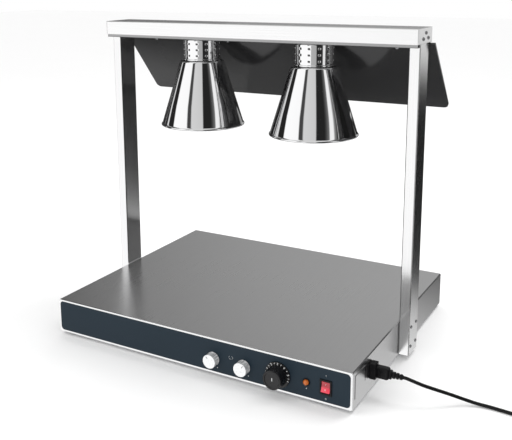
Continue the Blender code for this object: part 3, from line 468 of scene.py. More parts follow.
def joined(name, meshes):
    """Several meshes as one, each keeping its own material."""
    shape = bmesh.new()
    materials = []
    for mesh in meshes:
        offset = len(materials)
        first = len(shape.faces)
        shape.from_mesh(mesh)
        shape.faces.ensure_lookup_table()
        for face in shape.faces[first:]:
            face.material_index += offset
        materials += list(mesh.materials)
        bpy.data.meshes.remove(mesh)
    made = bpy.data.meshes.new(name)
    shape.to_mesh(made)
    shape.free()
    for material in materials:
        made.materials.append(material)
    return made


def painted(mesh, material):
    """The mesh with one material for all of it."""
    mesh.materials.clear()
    mesh.materials.append(material)
    return mesh


def middle_of(node):
    """The middle of a CAD node's box."""
    low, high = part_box(node)
    return (low + high) / 2


# Turns a piece made round +Z so that it points out of the front, along -Y.
FRONTWARD = Matrix.Rotation(math.pi / 2, 4, "X")


def on_front(x, y, z):
    """The place of a piece made round +Z that stands at a point and faces the user."""
    return Matrix.Translation((x, y, z)) @ FRONTWARD


# ---------------------------------------------------------------- lamps

SHADE_TOP = 0.6440
LAMP_SIDES = ("left", "right")
# Where the first column of holes starts, in degrees.
NECK_PHASE = {"left": 17.0, "right": 9.0}


def lamp_place(side):
    """A lamp's axis, at the height of the table."""
    spot = middle_of("shade_" + side)
    return Matrix.Translation((spot.x, spot.y, 0.0))


def make_shade(side):
    """A spun cone: flat top, rounded shoulder, straight flare and a rolled bead at the mouth."""
    wall = 1.0 * MM
    outer = [(0.0385, SHADE_TOP), (0.0480, SHADE_TOP)]
    outer += arc((0.0492, SHADE_TOP - 0.0052), 0.0052, 85, 17, 8)
    outer += [(0.0700, 0.5883), (0.0850, 0.5399), (0.0996, 0.4925)]
    outer += arc((0.1002, 0.4882), 0.0024, 70, -110, 12)
    inner = [(0.0990, 0.4890), (0.0840, 0.5395), (0.0690, 0.5879), (0.0536, 0.6372)]
    inner += arc((0.0490, SHADE_TOP - 0.0052), 0.0041, 17, 85, 6)
    inner += [(0.0385, SHADE_TOP - wall)]
    name = "shade_" + side
    mesh = turned(name + "_spun", outer + inner, lamp_place(side), 144, closed=True)
    piece(mesh, POLISHED, "warmer", [name])


def perforated_band(name, radius, low, high, columns, rows, hole, phase, place):
    """A cylinder's wall in cells round its holes.

    Each cell's rim is a rectangle in (arc length, height), and ring k lies between the hole's
    circle and that rectangle at the fraction k / rings along straight radial lines.
    """
    width, height = TURN * radius / columns, (high - low) / rows
    per_side, rings = 8, 4
    t = np.arange(per_side) / per_side
    across, up = width / 2, height / 2
    rim = np.concatenate(
        [
            np.stack([across + 0 * t, up * (2 * t - 1)], -1),
            np.stack([across * (1 - 2 * t), up + 0 * t], -1),
            np.stack([-across + 0 * t, up * (1 - 2 * t)], -1),
            np.stack([across * (2 * t - 1), -up + 0 * t], -1),
        ]
    )
    angle = np.arctan2(rim[:, 1], rim[:, 0])
    edge = hole * np.stack([np.cos(angle), np.sin(angle)], -1)
    share = np.linspace(0, 1, rings + 1)[:, None, None]
    cell = edge[None] * (1 - share) + rim[None] * share
    column, row = np.meshgrid(np.arange(columns), np.arange(rows), indexing="ij")
    middle = np.stack(
        [column * width + phase * radius, low + (row + 0.5) * height], -1
    ).reshape(-1, 1, 1, 2)
    flat = (cell[None] + middle).reshape(-1, 2)
    turn = flat[:, 0] / radius
    points = np.stack([radius * np.cos(turn), radius * np.sin(turn), flat[:, 1]], -1)
    ring_faces = grid_faces(rings + 1, len(rim), False, True)
    count = (rings + 1) * len(rim)
    every = (ring_faces[None] + count * np.arange(columns * rows)[:, None, None]).reshape(-1, 4)
    plain = columns * per_side
    sweep = (np.arange(plain) / plain - 0.5 / columns) * TURN + phase
    circle_of = [radius * np.cos(sweep), radius * np.sin(sweep)]
    bands = []
    for bottom, top in ((low - 0.0046, low), (high, high + 0.0033)):
        bands.append(np.concatenate([np.stack([*circle_of, 0 * sweep + h], -1) for h in (bottom, top)]))
    faces = [every]
    offset = len(points)
    for band in bands:
        faces.append(grid_faces(2, plain, False, True) + offset)
        offset += len(band)
    mesh = mesh_of(name, np.concatenate([points, *bands]), np.concatenate(faces))
    return sewn(mesh, place)


def make_neck(side):
    """The neck's perforated tube with a wall, and the bright collar pressed round its foot."""
    phase = math.radians(NECK_PHASE[side])
    place = lamp_place(side)
    name = "neck_" + side
    mesh = perforated_band(name + "_tube", 0.0440, 0.6502, 0.6922, 12, 3, 0.0020, phase, place)
    tube = piece(mesh, POLISHED, "warmer", [name])
    wall = tube.modifiers.new("wall", "SOLIDIFY")
    wall.thickness = 1.0 * MM
    wall.offset = -1.0
    collar = [(0.0441, 0.6494)]
    collar += arc((0.0447, 0.6480), 0.0011, 80, 0, 5)
    collar += arc((0.0447, 0.6463), 0.0011, 0, -80, 5)
    collar += [(0.0441, 0.6451)]
    ring = turned(name + "_collar", collar, place, 128, closed=True)
    piece(ring, POLISHED, "warmer")


def make_lamp(side):
    """A reflector lamp: threaded cap, glass neck, swelling body and a gently domed face."""
    place = lamp_place(side)
    cap = [(0.0, 0.6800), (0.0050, 0.6800), (0.0058, 0.6775), (0.0112, 0.6762)]
    height = np.linspace(0.6755, 0.6560, 60)
    thread = 0.0126 + 0.0006 * np.cos((height - 0.6560) / 0.0033 * TURN)
    cap += list(zip(thread.tolist(), height.tolist(), strict=True)) + [(0.0118, 0.6552), (0.0, 0.6552)]
    mesh = turned("lamp_" + side + "_cap", cap, place, 48)
    piece(mesh, ZINC, "warmer")
    throat, widest, shoulder = 0.0130, 0.0625, 0.5418
    t = np.linspace(0, 1, 28)
    swell = throat + (widest - throat) * (0.5 - 0.5 * np.cos(np.pi * t**1.25))
    body = list(zip(swell.tolist(), (0.6548 - 0.1130 * t).tolist(), strict=True))
    theta = np.linspace(0, math.pi / 2, 22)[1:]
    across = widest * np.cos(theta) ** 0.42
    face = list(zip(across.tolist(), (shoulder - 0.0350 * np.sin(theta)).tolist(), strict=True))
    face[-1] = (0.0, face[-1][1])
    glass = turned("lamp_" + side + "_glass", [(0.0, 0.6548), *body, *face], place, 96)
    piece(glass, LAMP, "warmer", ["bulb_" + side])


# ---------------------------------------------------------------- controls


def control_spot(node):
    """Where a control's axis meets the front panel, from the middle of its CAD node."""
    spot = middle_of(node)
    return spot.x, FRONT_FACE, spot.z


KNOB_TURN = {"left": math.radians(35), "right": math.radians(-35)}


def make_knob(side):
    """A bright machined knob: 16 hollow flats behind its smooth rim, the wave f = |sin 8 a| ^ 0.8."""
    x, y, z = control_spot("knob_" + side)
    angle = np.arange(288) / 288 * TURN
    rows = [
        (0.0000, 0.01740, 0), (0.0060, 0.01742, 0), (0.0122, 0.01752, 0), (0.0130, 0.01780, 0),
        (0.0141, 0.01800, 0), (0.0148, 0.01790, 0), (0.0153, 0.01755, 0.2), (0.0155, 0.01690, 0.8),
        (0.0155, 0.01600, 1), (0.0155, 0.00420, 1), (0.0155, 0.00330, 0.5), (0.0152, 0.00300, 0),
        (0.0150, 0.00240, 0), (0.0155, 0.00180, 0), (0.0155, 0.00060, 0), (0.0150, 0.00020, 0),
        (0.0034, 0.00020, 0), (0.0034, 0.01350, 0), (0.0000, 0.01350, 0),
    ]
    body = fluted("knob_body", rows, 1.0 * MM, np.abs(np.sin(8 * angle)) ** 0.8)
    line = soft_block("knob_line", (-0.0006, 0.0070, 0.0172), (0.0006, 0.0136, 0.0178), 0.0002)
    mesh = joined("knob_" + side + "_turned", [painted(body, KNOB_METAL), painted(line, BLACK)])
    mesh.transform(on_front(x, y, z) @ Matrix.Rotation(KNOB_TURN[side], 4, "Z"))
    piece(mesh, None, "knob_" + side, ["knob_" + side])


def make_dial():
    """The thermostat's dial: a thin skirt, and a dished cap with 36 grooves, f = max(cos 36 a, 0) ^ 0.6."""
    x, y, z = control_spot("dial_skirt")
    skirt = [(0.0034, 0.0036), (0.0215, 0.0036)] + arc((0.0266, 0.0018), 0.0018, 88, 10, 6)
    skirt += [(0.0285, 0.0010), (0.0283, 0.0004), (0.0034, 0.0004)]
    mesh = turned("dial_skirt_moulded", skirt, on_front(x, y, z), 128, closed=True)
    piece(mesh, DIAL_BLACK, "thermostat_dial", ["dial_skirt"])
    angle = np.arange(288) / 288 * TURN
    rows = [
        (0.0000, 0.02760, 0), (0.0110, 0.02760, 0), (0.0150, 0.02770, 0), (0.0163, 0.02800, 0),
        (0.0172, 0.02880, 0), (0.0186, 0.02900, 0), (0.0198, 0.02880, 0), (0.0207, 0.02820, 0),
        (0.0210, 0.02720, 0.2), (0.0211, 0.02600, 1), (0.0222, 0.01200, 1), (0.0224, 0.00900, 0.6),
        (0.0228, 0.00720, 0), (0.0230, 0.00400, 0), (0.0034, 0.00400, 0), (0.0034, 0.01840, 0),
        (0.0000, 0.01840, 0),
    ]
    grooves = np.clip(np.cos(36 * angle), 0, 1) ** 0.6
    cap = fluted("dial_cap_moulded", rows, 0.6 * MM, grooves, on_front(x, y, z))
    piece(cap, DIAL_BLACK, "thermostat_dial", ["dial_cap"])
    make_dial_marks(x, y - 0.0036, z)


INK = 0.06 * MM


def glyph(text, height):
    """A number as a thin solid, centred on the origin."""
    curve = bpy.data.curves.new("glyph", "FONT")
    curve.body = text
    curve.size = height / 0.72
    curve.align_x = "CENTER"
    curve.extrude = INK
    curve.offset = 0.028 * height
    curve.resolution_u = 4
    drawn = bpy.data.objects.new("glyph", curve)
    bpy.context.scene.collection.objects.link(drawn)
    bpy.context.view_layer.update()
    mesh = bpy.data.meshes.new_from_object(drawn.evaluated_get(bpy.context.evaluated_depsgraph_get()))
    bpy.data.objects.remove(drawn, do_unlink=True)
    mesh.transform(Matrix.Translation((0, -height / 2, 0)))
    return mesh


def stroke(half, low, high, top=INK, edge=0.02 * MM):
    """A printed line along y from low to high, reaching half its width to each side."""
    return soft_block("stroke", (-half, low, -0.05 * MM), (half, high, top), edge, steps=2)


def washer(outer, inner, half):
    """A flat ring between two radii, half as thick as said on each side."""
    return turned("ring", [(outer, half), (outer, -half), (inner, -half), (inner, half)], None, 32, closed=True)


def flat_shape(outline):
    """A flat outline with the thickness of ink."""
    return lofted("sign", [(outline, -INK), (outline, INK)])


def printed(name, marks, body):
    """Marks as one thin white piece: each is a mesh and its place."""
    meshes = []
    for mesh, place in marks:
        mesh.transform(place)
        meshes.append(painted(mesh, WHITE_INK))
    piece(joined(name, meshes), None, body, smooth=False)


def make_dial_marks(x, y, z):
    """Numbers 1 to 5 round the skirt, clockwise, with a short stroke between each pair."""
    marks = []

    def put(mesh, degrees, reach, lift=0.0):
        turn = Matrix.Rotation(math.radians(-degrees), 4, "Z")
        marks.append((mesh, on_front(x, y, z) @ turn @ Matrix.Translation((0, reach, lift))))

    for number, degrees in enumerate((-66, -33, 2, 38, 76), start=1):
        put(glyph(str(number), 0.0050), degrees, 0.0254, 0.02 * MM)
    for degrees in (-50, -16, 20, 57, 93, 108, -84):
        put(stroke(0.0005, -0.0017, 0.0017, 0.08 * MM, 0.03 * MM), degrees, 0.0256)
    index = stroke(0.0008, -0.0020, 0.0050, 0.08 * MM, 0.03 * MM)
    marks.append((index, on_front(x, y - 0.0240, z)))
    printed("dial_numbers", marks, "thermostat_dial")


def make_film_marks():
    """Printed marks on the control film: pointer dots, a lamp sign, and the switch's line and ring."""
    level = FILM_FACE - 0.04 * MM
    marks = []
    for node, across, up in (("knob_left", 0.0105, -0.0185), ("knob_right", 0.0111, -0.0184)):
        x, _, z = control_spot(node)
        dot = turned("dot", [(0.0, INK), (0.0010, INK), (0.0010, -INK), (0.0, -INK)], None, 20)
        marks.append((dot, on_front(x + across, level, z + up)))
    left, right = control_spot("knob_left"), control_spot("knob_right")
    sign = on_front((left[0] + right[0]) / 2 + 0.006, level, left[2] + 0.0130)
    for side in (-1, 1):
        lean = Matrix.Rotation(side * math.radians(30), 4, "Z")
        shade_edge = stroke(0.0002, -0.0026, 0.0026)
        marks.append((shade_edge, sign @ Matrix.Translation((side * 0.0038, 0.0006, 0)) @ lean))
    for step in (-1, 0, 1):
        ray = stroke(0.0002, -0.0048, -0.0028)
        marks.append((ray, sign @ Matrix.Translation((0.0030 * step, 0, 0))))
    rocker = middle_of("rocker_housing")
    marks.append((stroke(0.0003, -0.0017, 0.0017), on_front(rocker.x, level, rocker.z + 0.0250)))
    marks.append((washer(0.0017, 0.0012, INK), on_front(rocker.x, level, rocker.z - 0.0250)))
    pilot = middle_of("pilot_lens")
    triangle = flat_shape([(0.0, 0.0014), (-0.0013, -0.0010), (0.0013, -0.0010)])
    marks.append((triangle, on_front(pilot.x, level, pilot.z - 0.0140)))
    printed("film_marks", marks, "warmer")


def make_rating_bar():
    """A plain dark bar printed at the rating plate's rear end."""
    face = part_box("rating_plate")[1].x
    low, high = (face - 0.1 * MM, -0.2245, 0.0430), (face + 0.1 * MM, -0.2215, 0.0700)
    bar = soft_block("rating_bar", low, high, 0.05 * MM, steps=2)
    piece(bar, BLACK, "warmer", smooth=False)


def make_pilot():
    """The pilot light: a black bezel and an amber dome with 16 moulded ribs on its flank."""
    spot = middle_of("pilot_holder")
    place = on_front(spot.x, FILM_FACE, spot.z)
    bezel = [(0.0044, 0.0006), (0.0044, -0.0250), (0.0049, -0.0250), (0.0049, 0.0003), (0.0080, 0.0003)]
    bezel += arc((0.0070, 0.0012), 0.0010, 0, 140, 6) + [(0.0062, 0.0018), (0.0062, 0.0006)]
    mesh = turned("pilot_bezel", bezel, place, 64, closed=True)
    piece(mesh, BLACK, "warmer", ["pilot_holder"])
    angle = np.arange(128) / 128 * TURN
    theta = np.radians(np.linspace(0, 90, 14))
    share = np.clip((np.degrees(theta) - 35) / 30, 0, 1)
    rows = list(zip(0.0058 * np.sin(theta), 0.0028 + 0.0052 * np.cos(theta), share, strict=True))
    rows += [(0.0058, 0.0009, 1.0), (0.0, 0.0009, 0.0)]
    lens = fluted("pilot_dome", rows, 0.3 * MM, 0.5 + 0.5 * np.cos(16 * angle), place)
    piece(lens, AMBER, "warmer", ["pilot_lens"])


def make_rocker():
    """The lit rocker: a saddle in profile, d = 5.6 + 2.2 (h / 10.8)^2 in mm, extruded across."""
    low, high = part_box("rocker")
    joint = next(j for j in frame["joints"] if j["name"] == "rocker_tilt")
    pivot = Matrix.Translation(joint["pos_m"])
    reach = 10.8 * MM

    def depth(height):
        return 5.6 * MM + 2.2 * MM * (height / reach) ** 2

    height = np.linspace(-reach, reach, 25)
    outline = list(zip(height.tolist(), depth(height).tolist(), strict=True))
    outline[0], outline[-1] = (-0.0104, 0.0077), (0.0104, 0.0077)
    outline += [(0.0109, 0.0072), (0.0109, 0.0045), (0.0075, -0.0045)]
    outline += [(-0.0075, -0.0045), (-0.0109, 0.0045), (-0.0109, 0.0072)]
    half = (high.x - low.x) / 2
    ends = ((half, 0.96), (half - 0.3 * MM, 0.99), (half - 0.8 * MM, 1.0))
    widths = [(-w, scale) for w, scale in ends] + list(ends[::-1])
    layers = [([(a * scale, b * scale) for a, b in outline], w) for w, scale in widths]
    across = Matrix(((0, 0, 1, 0), (0, -1, 0, 0), (1, 0, 0, 0), (0, 0, 0, 1)))
    tilt = Matrix.Rotation(-math.radians(12), 4, "X")
    body = lofted("rocker_body", layers, pivot @ tilt @ across)
    ring = washer(0.0016, 0.0011, 0.2 * MM)
    line = soft_block("rocker_line", (-0.0003, -0.0016, -0.0002), (0.0003, 0.0016, 0.0002), 0.0001, steps=2)
    for mark, level in ((ring, -0.0058), (line, 0.0058)):
        mark.transform(pivot @ tilt @ Matrix.Translation((0, -depth(level), level)) @ FRONTWARD)
    marks = [painted(mark, WHITE_INK) for mark in (ring, line)]
    mesh = joined("rocker_lit", [painted(body, RED), *marks])
    piece(mesh, None, "rocker", ["rocker"])


def make_rocker_bezel():
    """The rocker's frame: a rim's profile carried round a rounded rectangle, with its well."""
    face = middle_of("rocker_housing")
    outer = rounded_rectangle(0.0260, 0.0330, 0.0012)
    inner = rounded_rectangle(0.0186, 0.0252, 0.0008)
    skins = [
        (outer, 0.0003),
        (outer, 0.0015),
        (outer * (0.98, 0.985), 0.0021),
        (outer * (0.95, 0.96), 0.0023),
        (inner * (1.08, 1.06), 0.0023),
        (inner, 0.0018),
        (inner, -0.0110),
    ]
    mesh = lofted("rocker_frame", skins, on_front(face.x, FILM_FACE, face.z))
    piece(mesh, BLACK, "warmer", ["rocker_housing"])


# ---------------------------------------------------------------- fasteners


def button_screw(radius, shank, length, key):
    """A domed head with a hexagon socket: the head is an ellipse's arc, r = R cos a, h = H sin a."""
    height = radius * 0.52
    sides = 48
    angle = np.arange(sides) / sides * TURN
    hexagon = key * math.cos(math.pi / 6) / np.cos((angle + math.pi / 6) % (math.pi / 3) - math.pi / 6)
    theta = np.radians(np.linspace(62, 0, 9))
    rows = [(0.0 * angle, height * 0.38), (hexagon, height * 0.40), (hexagon, height * 0.93)]
    rows += [(radius * math.cos(t) + 0 * angle, height * math.sin(t)) for t in theta]
    rows += [(shank + 0 * angle, 0.0), (shank + 0 * angle, -length), (0.0 * angle, -length)]
    points = [np.stack([r * np.cos(angle), r * np.sin(angle), h + 0 * angle], -1) for r, h in rows]
    return sewn(mesh_of("screw", np.concatenate(points), grid_faces(len(rows), sides, False, True)))


def screw_set(name, places, aim, sizes, plate, replaced):
    """Identical screws at their places, all aimed one way, with the tapped plate behind them."""
    meshes = []
    for place in places:
        screw = button_screw(*sizes)
        screw.transform(Matrix.Translation(place) @ aim)
        meshes.append(screw)
    meshes.append(soft_block("tapped_plate", *plate, 0.4 * MM))
    mesh = painted(joined(name, meshes), SCREW_STEEL)
    piece(mesh, None, "warmer", [replaced])


def outer_face(node, sign):
    """The x of a node's outer face, on the side of that sign."""
    low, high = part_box(node)
    return high.x if sign > 0 else low.x


def against(face, sign, thickness, low, high):
    """The corners of a tapped plate that lies on the inner side of a face."""
    near, far = sorted((face, face - sign * thickness))
    return (near, *low), (far, *high)


CASING_SIDE = 0.375
WALL_AND_GAP = 1.8 * MM
HEAD_LIFT = 0.3 * MM
# Head radius, shank radius, length and key of each kind.
POST_SCREW = (0.0040, 0.0020, 0.0300, 0.0013)
BEAM_SCREW = (0.0042, 0.0024, 0.0110, 0.0014)
BEAM_SCREWS = ((-0.0042, 0.7125), (0.0136, 0.7246), (0.0300, 0.7133))


def make_screws():
    """The posts' four screws a side and the beam ends' three, each set with its tapped plate."""
    for side, sign in (("left", -1), ("right", 1)):
        aim = Matrix.Rotation(sign * math.pi / 2, 4, "Y")
        depth = middle_of("post_" + side).y
        post = outer_face("post_" + side, sign)
        places = [(post + sign * HEAD_LIFT, depth + y, z) for y in (-0.0175, 0.0175) for z in (0.029, 0.075)]
        inside = sign * (CASING_SIDE - WALL_AND_GAP)
        plate = against(inside, sign, 3.0 * MM, (depth - 0.024, 0.022), (depth + 0.024, 0.082))
        screw_set("post_screw_set_" + side, places, aim, POST_SCREW, plate, "post_screws_" + side)
        cap = outer_face("beam_cap_" + side, sign)
        places = [(cap + sign * HEAD_LIFT, y, z) for y, z in BEAM_SCREWS]
        inside = post - sign * WALL_AND_GAP
        plate = against(inside, sign, 2.5 * MM, (-0.0105, 0.7070), (0.0365, 0.7305))
        screw_set("beam_screw_set_" + side, places, aim, BEAM_SCREW, plate, "beam_screws_" + side)


# ---------------------------------------------------------------- mains lead

CORD_RADIUS = 3.5 * MM
COIL_CENTRE = (0.700, -0.0966)
COIL_OUTER = 0.0424
COIL_INNER = 0.0353
COIL_FLOOR = 0.0036
COIL_LAYER = 0.0071
COIL_TURNS = 5.25
ROUTE = [
    (0.4444, -0.1910, 0.0522),
    (0.4511, -0.1910, 0.0521),
    (0.4650, -0.1902, 0.0490),
    (0.4850, -0.1850, 0.0425),
    (0.5080, -0.1730, 0.0335),
    (0.5310, -0.1580, 0.0230),
    (0.5540, -0.1450, 0.0130),
    (0.5780, -0.1370, 0.0062),
    (0.6040, -0.1340, 0.0041),
    (0.6330, -0.1355, 0.0036),
    (0.6670, -0.1390, 0.0036),
]


def coil_points():
    """The coil: radius and height hold for each turn and ease to the next over its last fifth."""
    radii = (COIL_OUTER, COIL_INNER, COIL_INNER, COIL_OUTER, COIL_INNER, COIL_OUTER)
    turns = [(radius, COIL_FLOOR + COIL_LAYER * (k // 2)) for k, radius in enumerate(radii)]
    t = np.arange(0.0, COIL_TURNS, 1 / 40)
    whole = np.minimum(t.astype(int), len(turns) - 1)
    after = np.minimum(whole + 1, len(turns) - 1)
    ease = np.clip((t - whole - 0.80) / 0.20, 0, 1)
    ease = ease * ease * (3 - 2 * ease)
    level = np.array(turns)
    radius, height = (level[whole] * (1 - ease[:, None]) + level[after] * ease[:, None]).T
    angle = (t - 0.25) * TURN
    across, along = COIL_CENTRE
    return np.stack([across + radius * np.cos(angle), along + radius * np.sin(angle), height], -1)


def smooth_through(points, step):
    """Points about step apart on the Catmull-Rom curve through a route's own points."""
    p = np.asarray(points, float)
    p = np.vstack([2 * p[0] - p[1], p, 2 * p[-1] - p[-2]])
    made = []
    for a, b, c, d in zip(p[:-3], p[1:-2], p[2:-1], p[3:], strict=True):
        count = max(2, round(float(np.linalg.norm(c - b)) / step))
        t = np.arange(count)[:, None] / count
        bend, twist = 2 * a - 5 * b + 4 * c - d, 3 * b - 3 * c + d - a
        made.append(0.5 * (2 * b + (c - a) * t + bend * t**2 + twist * t**3))
    made.append(p[-2][None])
    return np.vstack(made)


def lead_path():
    """The whole free lead: out of the relief, down to the table, round the coil and into the plug."""
    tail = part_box("mains_plug")[0].y
    coil = coil_points()
    x, y, z = coil[-1]
    last = np.array([(x + 0.0002, (y + tail) / 2 + 0.002, z + 0.0006), (x, tail + 0.001, 0.0190)])
    whole = np.vstack([smooth_through(ROUTE, 6.0 * MM), coil, last])
    keep = np.concatenate([[True], np.linalg.norm(np.diff(whole, axis=0), axis=1) > 0.0015])
    return whole[keep]


def make_connector():
    """The lead's moulded connector: rounded body, a step, a collar and a tapered relief with ribs."""
    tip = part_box("lead_connector")[1].x
    y = middle_of("lead_connector").y
    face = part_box("power_inlet")[1].x
    along = Matrix(((0, 0, 1, 0), (1, 0, 0, y), (0, 1, 0, 0), (0, 0, 0, 1)))
    body_z, relief_z = 0.0526, 0.0522
    body = rounded_rectangle(0.0170, 0.0248, 0.0034)
    nose = rounded_rectangle(0.0128, 0.0262, 0.0015)
    collar = rounded_rectangle(0.0150, 0.0176, 0.0040)

    def at(outline, scale, height):
        return [(a * scale, b * scale + height) for a, b in outline]

    layers = [
        (at(nose, 0.97, 0.0530), face - 0.0156),
        (at(nose, 1.0, 0.0530), face - 0.0150),
        (at(nose, 1.0, 0.0530), face + 0.0002),
        (at(body, 0.93, body_z), face + 0.0004),
        (at(body, 1.0, body_z), face + 0.0014),
        (at(body, 1.0, body_z), 0.4100),
        (at(body, 0.96, body_z), 0.4130),
        (at(body, 0.86, body_z), 0.4150),
        (at(collar, 0.92, relief_z), 0.4158),
        (at(collar, 1.0, relief_z), 0.4168),
        (at(collar, 1.0, relief_z), 0.4200),
        (at(collar, 0.88, relief_z), 0.4214),
    ]
    shell = lofted("connector_body", layers, along)
    relief = [(0.0, 0.4200), (0.0066, 0.4200)]
    for rib in range(3):
        start = 0.4214 + 0.0073 * rib
        girth = 0.0073 - 0.0007 * rib
        relief += [(girth - 0.0022, start), (girth - 0.0022, start + 0.0016), (girth - 0.0004, start + 0.0021)]
        relief += [(girth, start + 0.0027), (girth - 0.0001, start + 0.0060), (girth - 0.0006, start + 0.0067)]
    relief += [(0.0047, tip - 0.0008), (0.0042, tip), (0.0, tip)]
    around = Matrix.Translation((0, y, relief_z)) @ Matrix.Rotation(math.pi / 2, 4, "Y")
    boot = turned("connector_boot", relief[::-1], around, 48)
    grips = []
    for side in (-1, 1):
        for k in range(5):
            x, middle = face + 0.0050 + 0.0034 * k, y + side * 0.0084
            low = (x, middle - 0.0005, body_z - 0.0080)
            high = (x + 0.0014, middle + 0.0005, body_z + 0.0080)
            grips.append(soft_block("grip", low, high, 0.4 * MM, steps=3))
    mesh = joined("connector_moulded", [shell, boot, *grips])
    return piece(mesh, BLACK, "mains_lead", ["lead_connector"])


def make_plug():
    """A round grounded plug: its profile swells from the cord, with finger rings, to a flat face."""
    spot = middle_of("mains_plug")
    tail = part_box("mains_plug")[0].y
    away = Matrix.Translation((spot.x, tail, spot.z)) @ Matrix.Rotation(-math.pi / 2, 4, "X")
    profile = [(0.0, 0.0560), (0.0158, 0.0560)] + arc((0.0165, 0.0545), 0.0015, 90, 0, 5)
    profile += [(0.0183, 0.0400), (0.0180, 0.0330)]
    for ring in range(4):
        z, r = 0.0315 - 0.0030 * ring, 0.0172 - 0.0020 * ring
        profile += [(r, z), (r - 0.0009, z - 0.0006), (r - 0.0012, z - 0.0018), (r - 0.0008, z - 0.0024)]
    profile += [(0.0075, 0.0190), (0.0064, 0.0160), (0.0060, 0.0090)]
    profile += [(0.0050, 0.0010), (0.0046, 0.0), (0.0, 0.0)]
    mesh = turned("plug_moulded", profile, away, 72)
    plug = piece(mesh, BLACK, "mains_lead", ["mains_plug"])
    pin = [(0.0, 0.0190), (0.0012, 0.0189), (0.0021, 0.0180), (0.0024, 0.0168), (0.0024, 0.0), (0.0, 0.0)]
    disc = [(0.0, 0.0575), (0.0146, 0.0575), (0.0150, 0.0571), (0.0150, 0.0563), (0.0, 0.0563)]
    meshes = []
    for x in (-0.0095, 0.0095):
        meshes.append(painted(turned("pin", pin, away @ Matrix.Translation((x, 0, 0.0570)), 32), ZINC))
    meshes.append(painted(turned("pin_carrier", disc, away, 48), BLACK))
    pins = joined("plug_contacts", meshes)
    return plug, piece(pins, None, "mains_lead", ["plug_pins"])


def make_tie():
    """A soft wire tie round the coil: a flat band's section carried round a rounded rectangle."""
    low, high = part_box("coil_tie")
    middle = (low + high) / 2
    ring = rounded_rectangle(high.x - low.x - 0.0014, high.z - low.z - 0.0014, 0.0030, 8)
    path = np.stack([middle.x + ring[:, 0], 0 * ring[:, 0] + middle.y, middle.z + ring[:, 1]], -1)
    ahead = np.roll(path, -1, 0) - np.roll(path, 1, 0)
    ahead /= np.linalg.norm(ahead, axis=1, keepdims=True)
    across = np.array([0.0, 1.0, 0.0])
    out = np.cross(ahead, across)
    section = rounded_rectangle(0.0062, 0.0011, 0.0005, 4)
    wide, thick = section[None, :, 0, None], section[None, :, 1, None]
    points = path[:, None, :] + wide * across + thick * out[:, None, :]
    mesh = sewn(mesh_of("tie_band", points.reshape(-1, 3), grid_faces(len(path), len(section), True, True)))
    return piece(mesh, RUBBER, "mains_lead", ["coil_tie"])


def make_lead():
    """The lead itself, one round sheath along its whole path, with its connector, tie and plug."""
    connector = make_connector()
    plug, pins = make_plug()
    tie = make_tie()
    path = lead_path()
    mesh = swept("mains_lead_sheath", path, circle(CORD_RADIUS, 16))
    cord = piece(mesh, SHEATH, "mains_lead", ["mains_cord", "cord_coil"])


# ---------------------------------------------------------------- casework


def make_rim():
    """The front panel's bright rim, as a profile carried round a rounded rectangle, and its back sheet."""
    low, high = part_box("front_panel")
    width, height = high.x - low.x, high.z - low.z
    centre = (0.0, low.y, (low.z + high.z) / 2)
    outer = rounded_rectangle(width, height, 0.0030, 8)
    inner = rounded_rectangle(width - 0.0080, height - 0.0080, 0.0080, 8)

    def inset(amount):
        return outer * ((width - 2 * amount) / width, (height - 2 * amount) / height)

    skins = [
        (outer, low.y - high.y),
        (outer, -0.0006),
        (inset(0.2 * MM), -0.0001),
        (inset(0.7 * MM), 0.0),
        (inner * (1.0008, 1.006), 0.0),
        (inner * (1.0002, 1.0015), -0.0002),
        (inner, -0.0006),
        (inner, -0.0020),
    ]
    mesh = lofted("front_rim", skins, on_front(*centre))
    piece(mesh, RIM_STEEL, "warmer", ["front_panel"])


def make_foot(place):
    """A turned rubber foot with a rounded tread edge and its moulded-in stud."""
    node = "foot_" + place
    spot = middle_of(node)
    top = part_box(node)[1].z
    outline = [(0.0, top), (0.0018, top), (0.0020, top - 0.0003), (0.0020, 0.0089), (0.0168, 0.0089)]
    outline += [(0.0175, 0.0083)] + arc((0.0152, 0.0020), 0.0020, 0, -90, 6)
    outline += [(0.0070, 0.0), (0.0064, 0.0006), (0.0064, 0.0040), (0.0, 0.0040)]
    mesh = turned(node + "_moulded", outline, Matrix.Translation((spot.x, spot.y, 0.0)), 64)
    piece(mesh, RUBBER, "warmer", [node])


def dress_frame():
    """Finishes of the CAD nodes that stay."""
    finishes = {
        PLATE_STEEL: ("top_casing", "rating_plate"),
        FILM: ("control_overlay",),
        SILICONE: ("heater_mat",),
        BOARD: ("insulation_board",),
        CREAM: ("thermostat_body", "terminal_block"),
        BLACK: ("lamp_control_left", "lamp_control_right", "power_inlet"),
        LOOM: ("base_loom", "lamp_loom"),
        FRAME_STEEL: ("post_left", "post_right", "beam_cap_left", "beam_cap_right"),
        BEAM_STEEL: ("beam_cover", "guard_strip"),
        # The tray's darker steel is painted shade under the beam.
        TRAY_STEEL_PAINTED_SHADE: ("beam_tray",),
        PORCELAIN: ("lamp_holder_left", "lamp_holder_right"),
        SMOKED: ("guard",),
        ZINC: (
            "bottom_cover",
            "thermostat_shaft",
            "sensor_bulb",
            "lamp_shaft_left",
            "lamp_shaft_right",
            "earth_stud",
            "shade_ring_left",
            "shade_ring_right",
            "guard_bolts",
        ),
    }
    for material, nodes in finishes.items():
        for node in nodes:
            painted(NODES[node].data, material)


# ---------------------------------------------------------------- studio

FLOOR_SPAN = 14.0


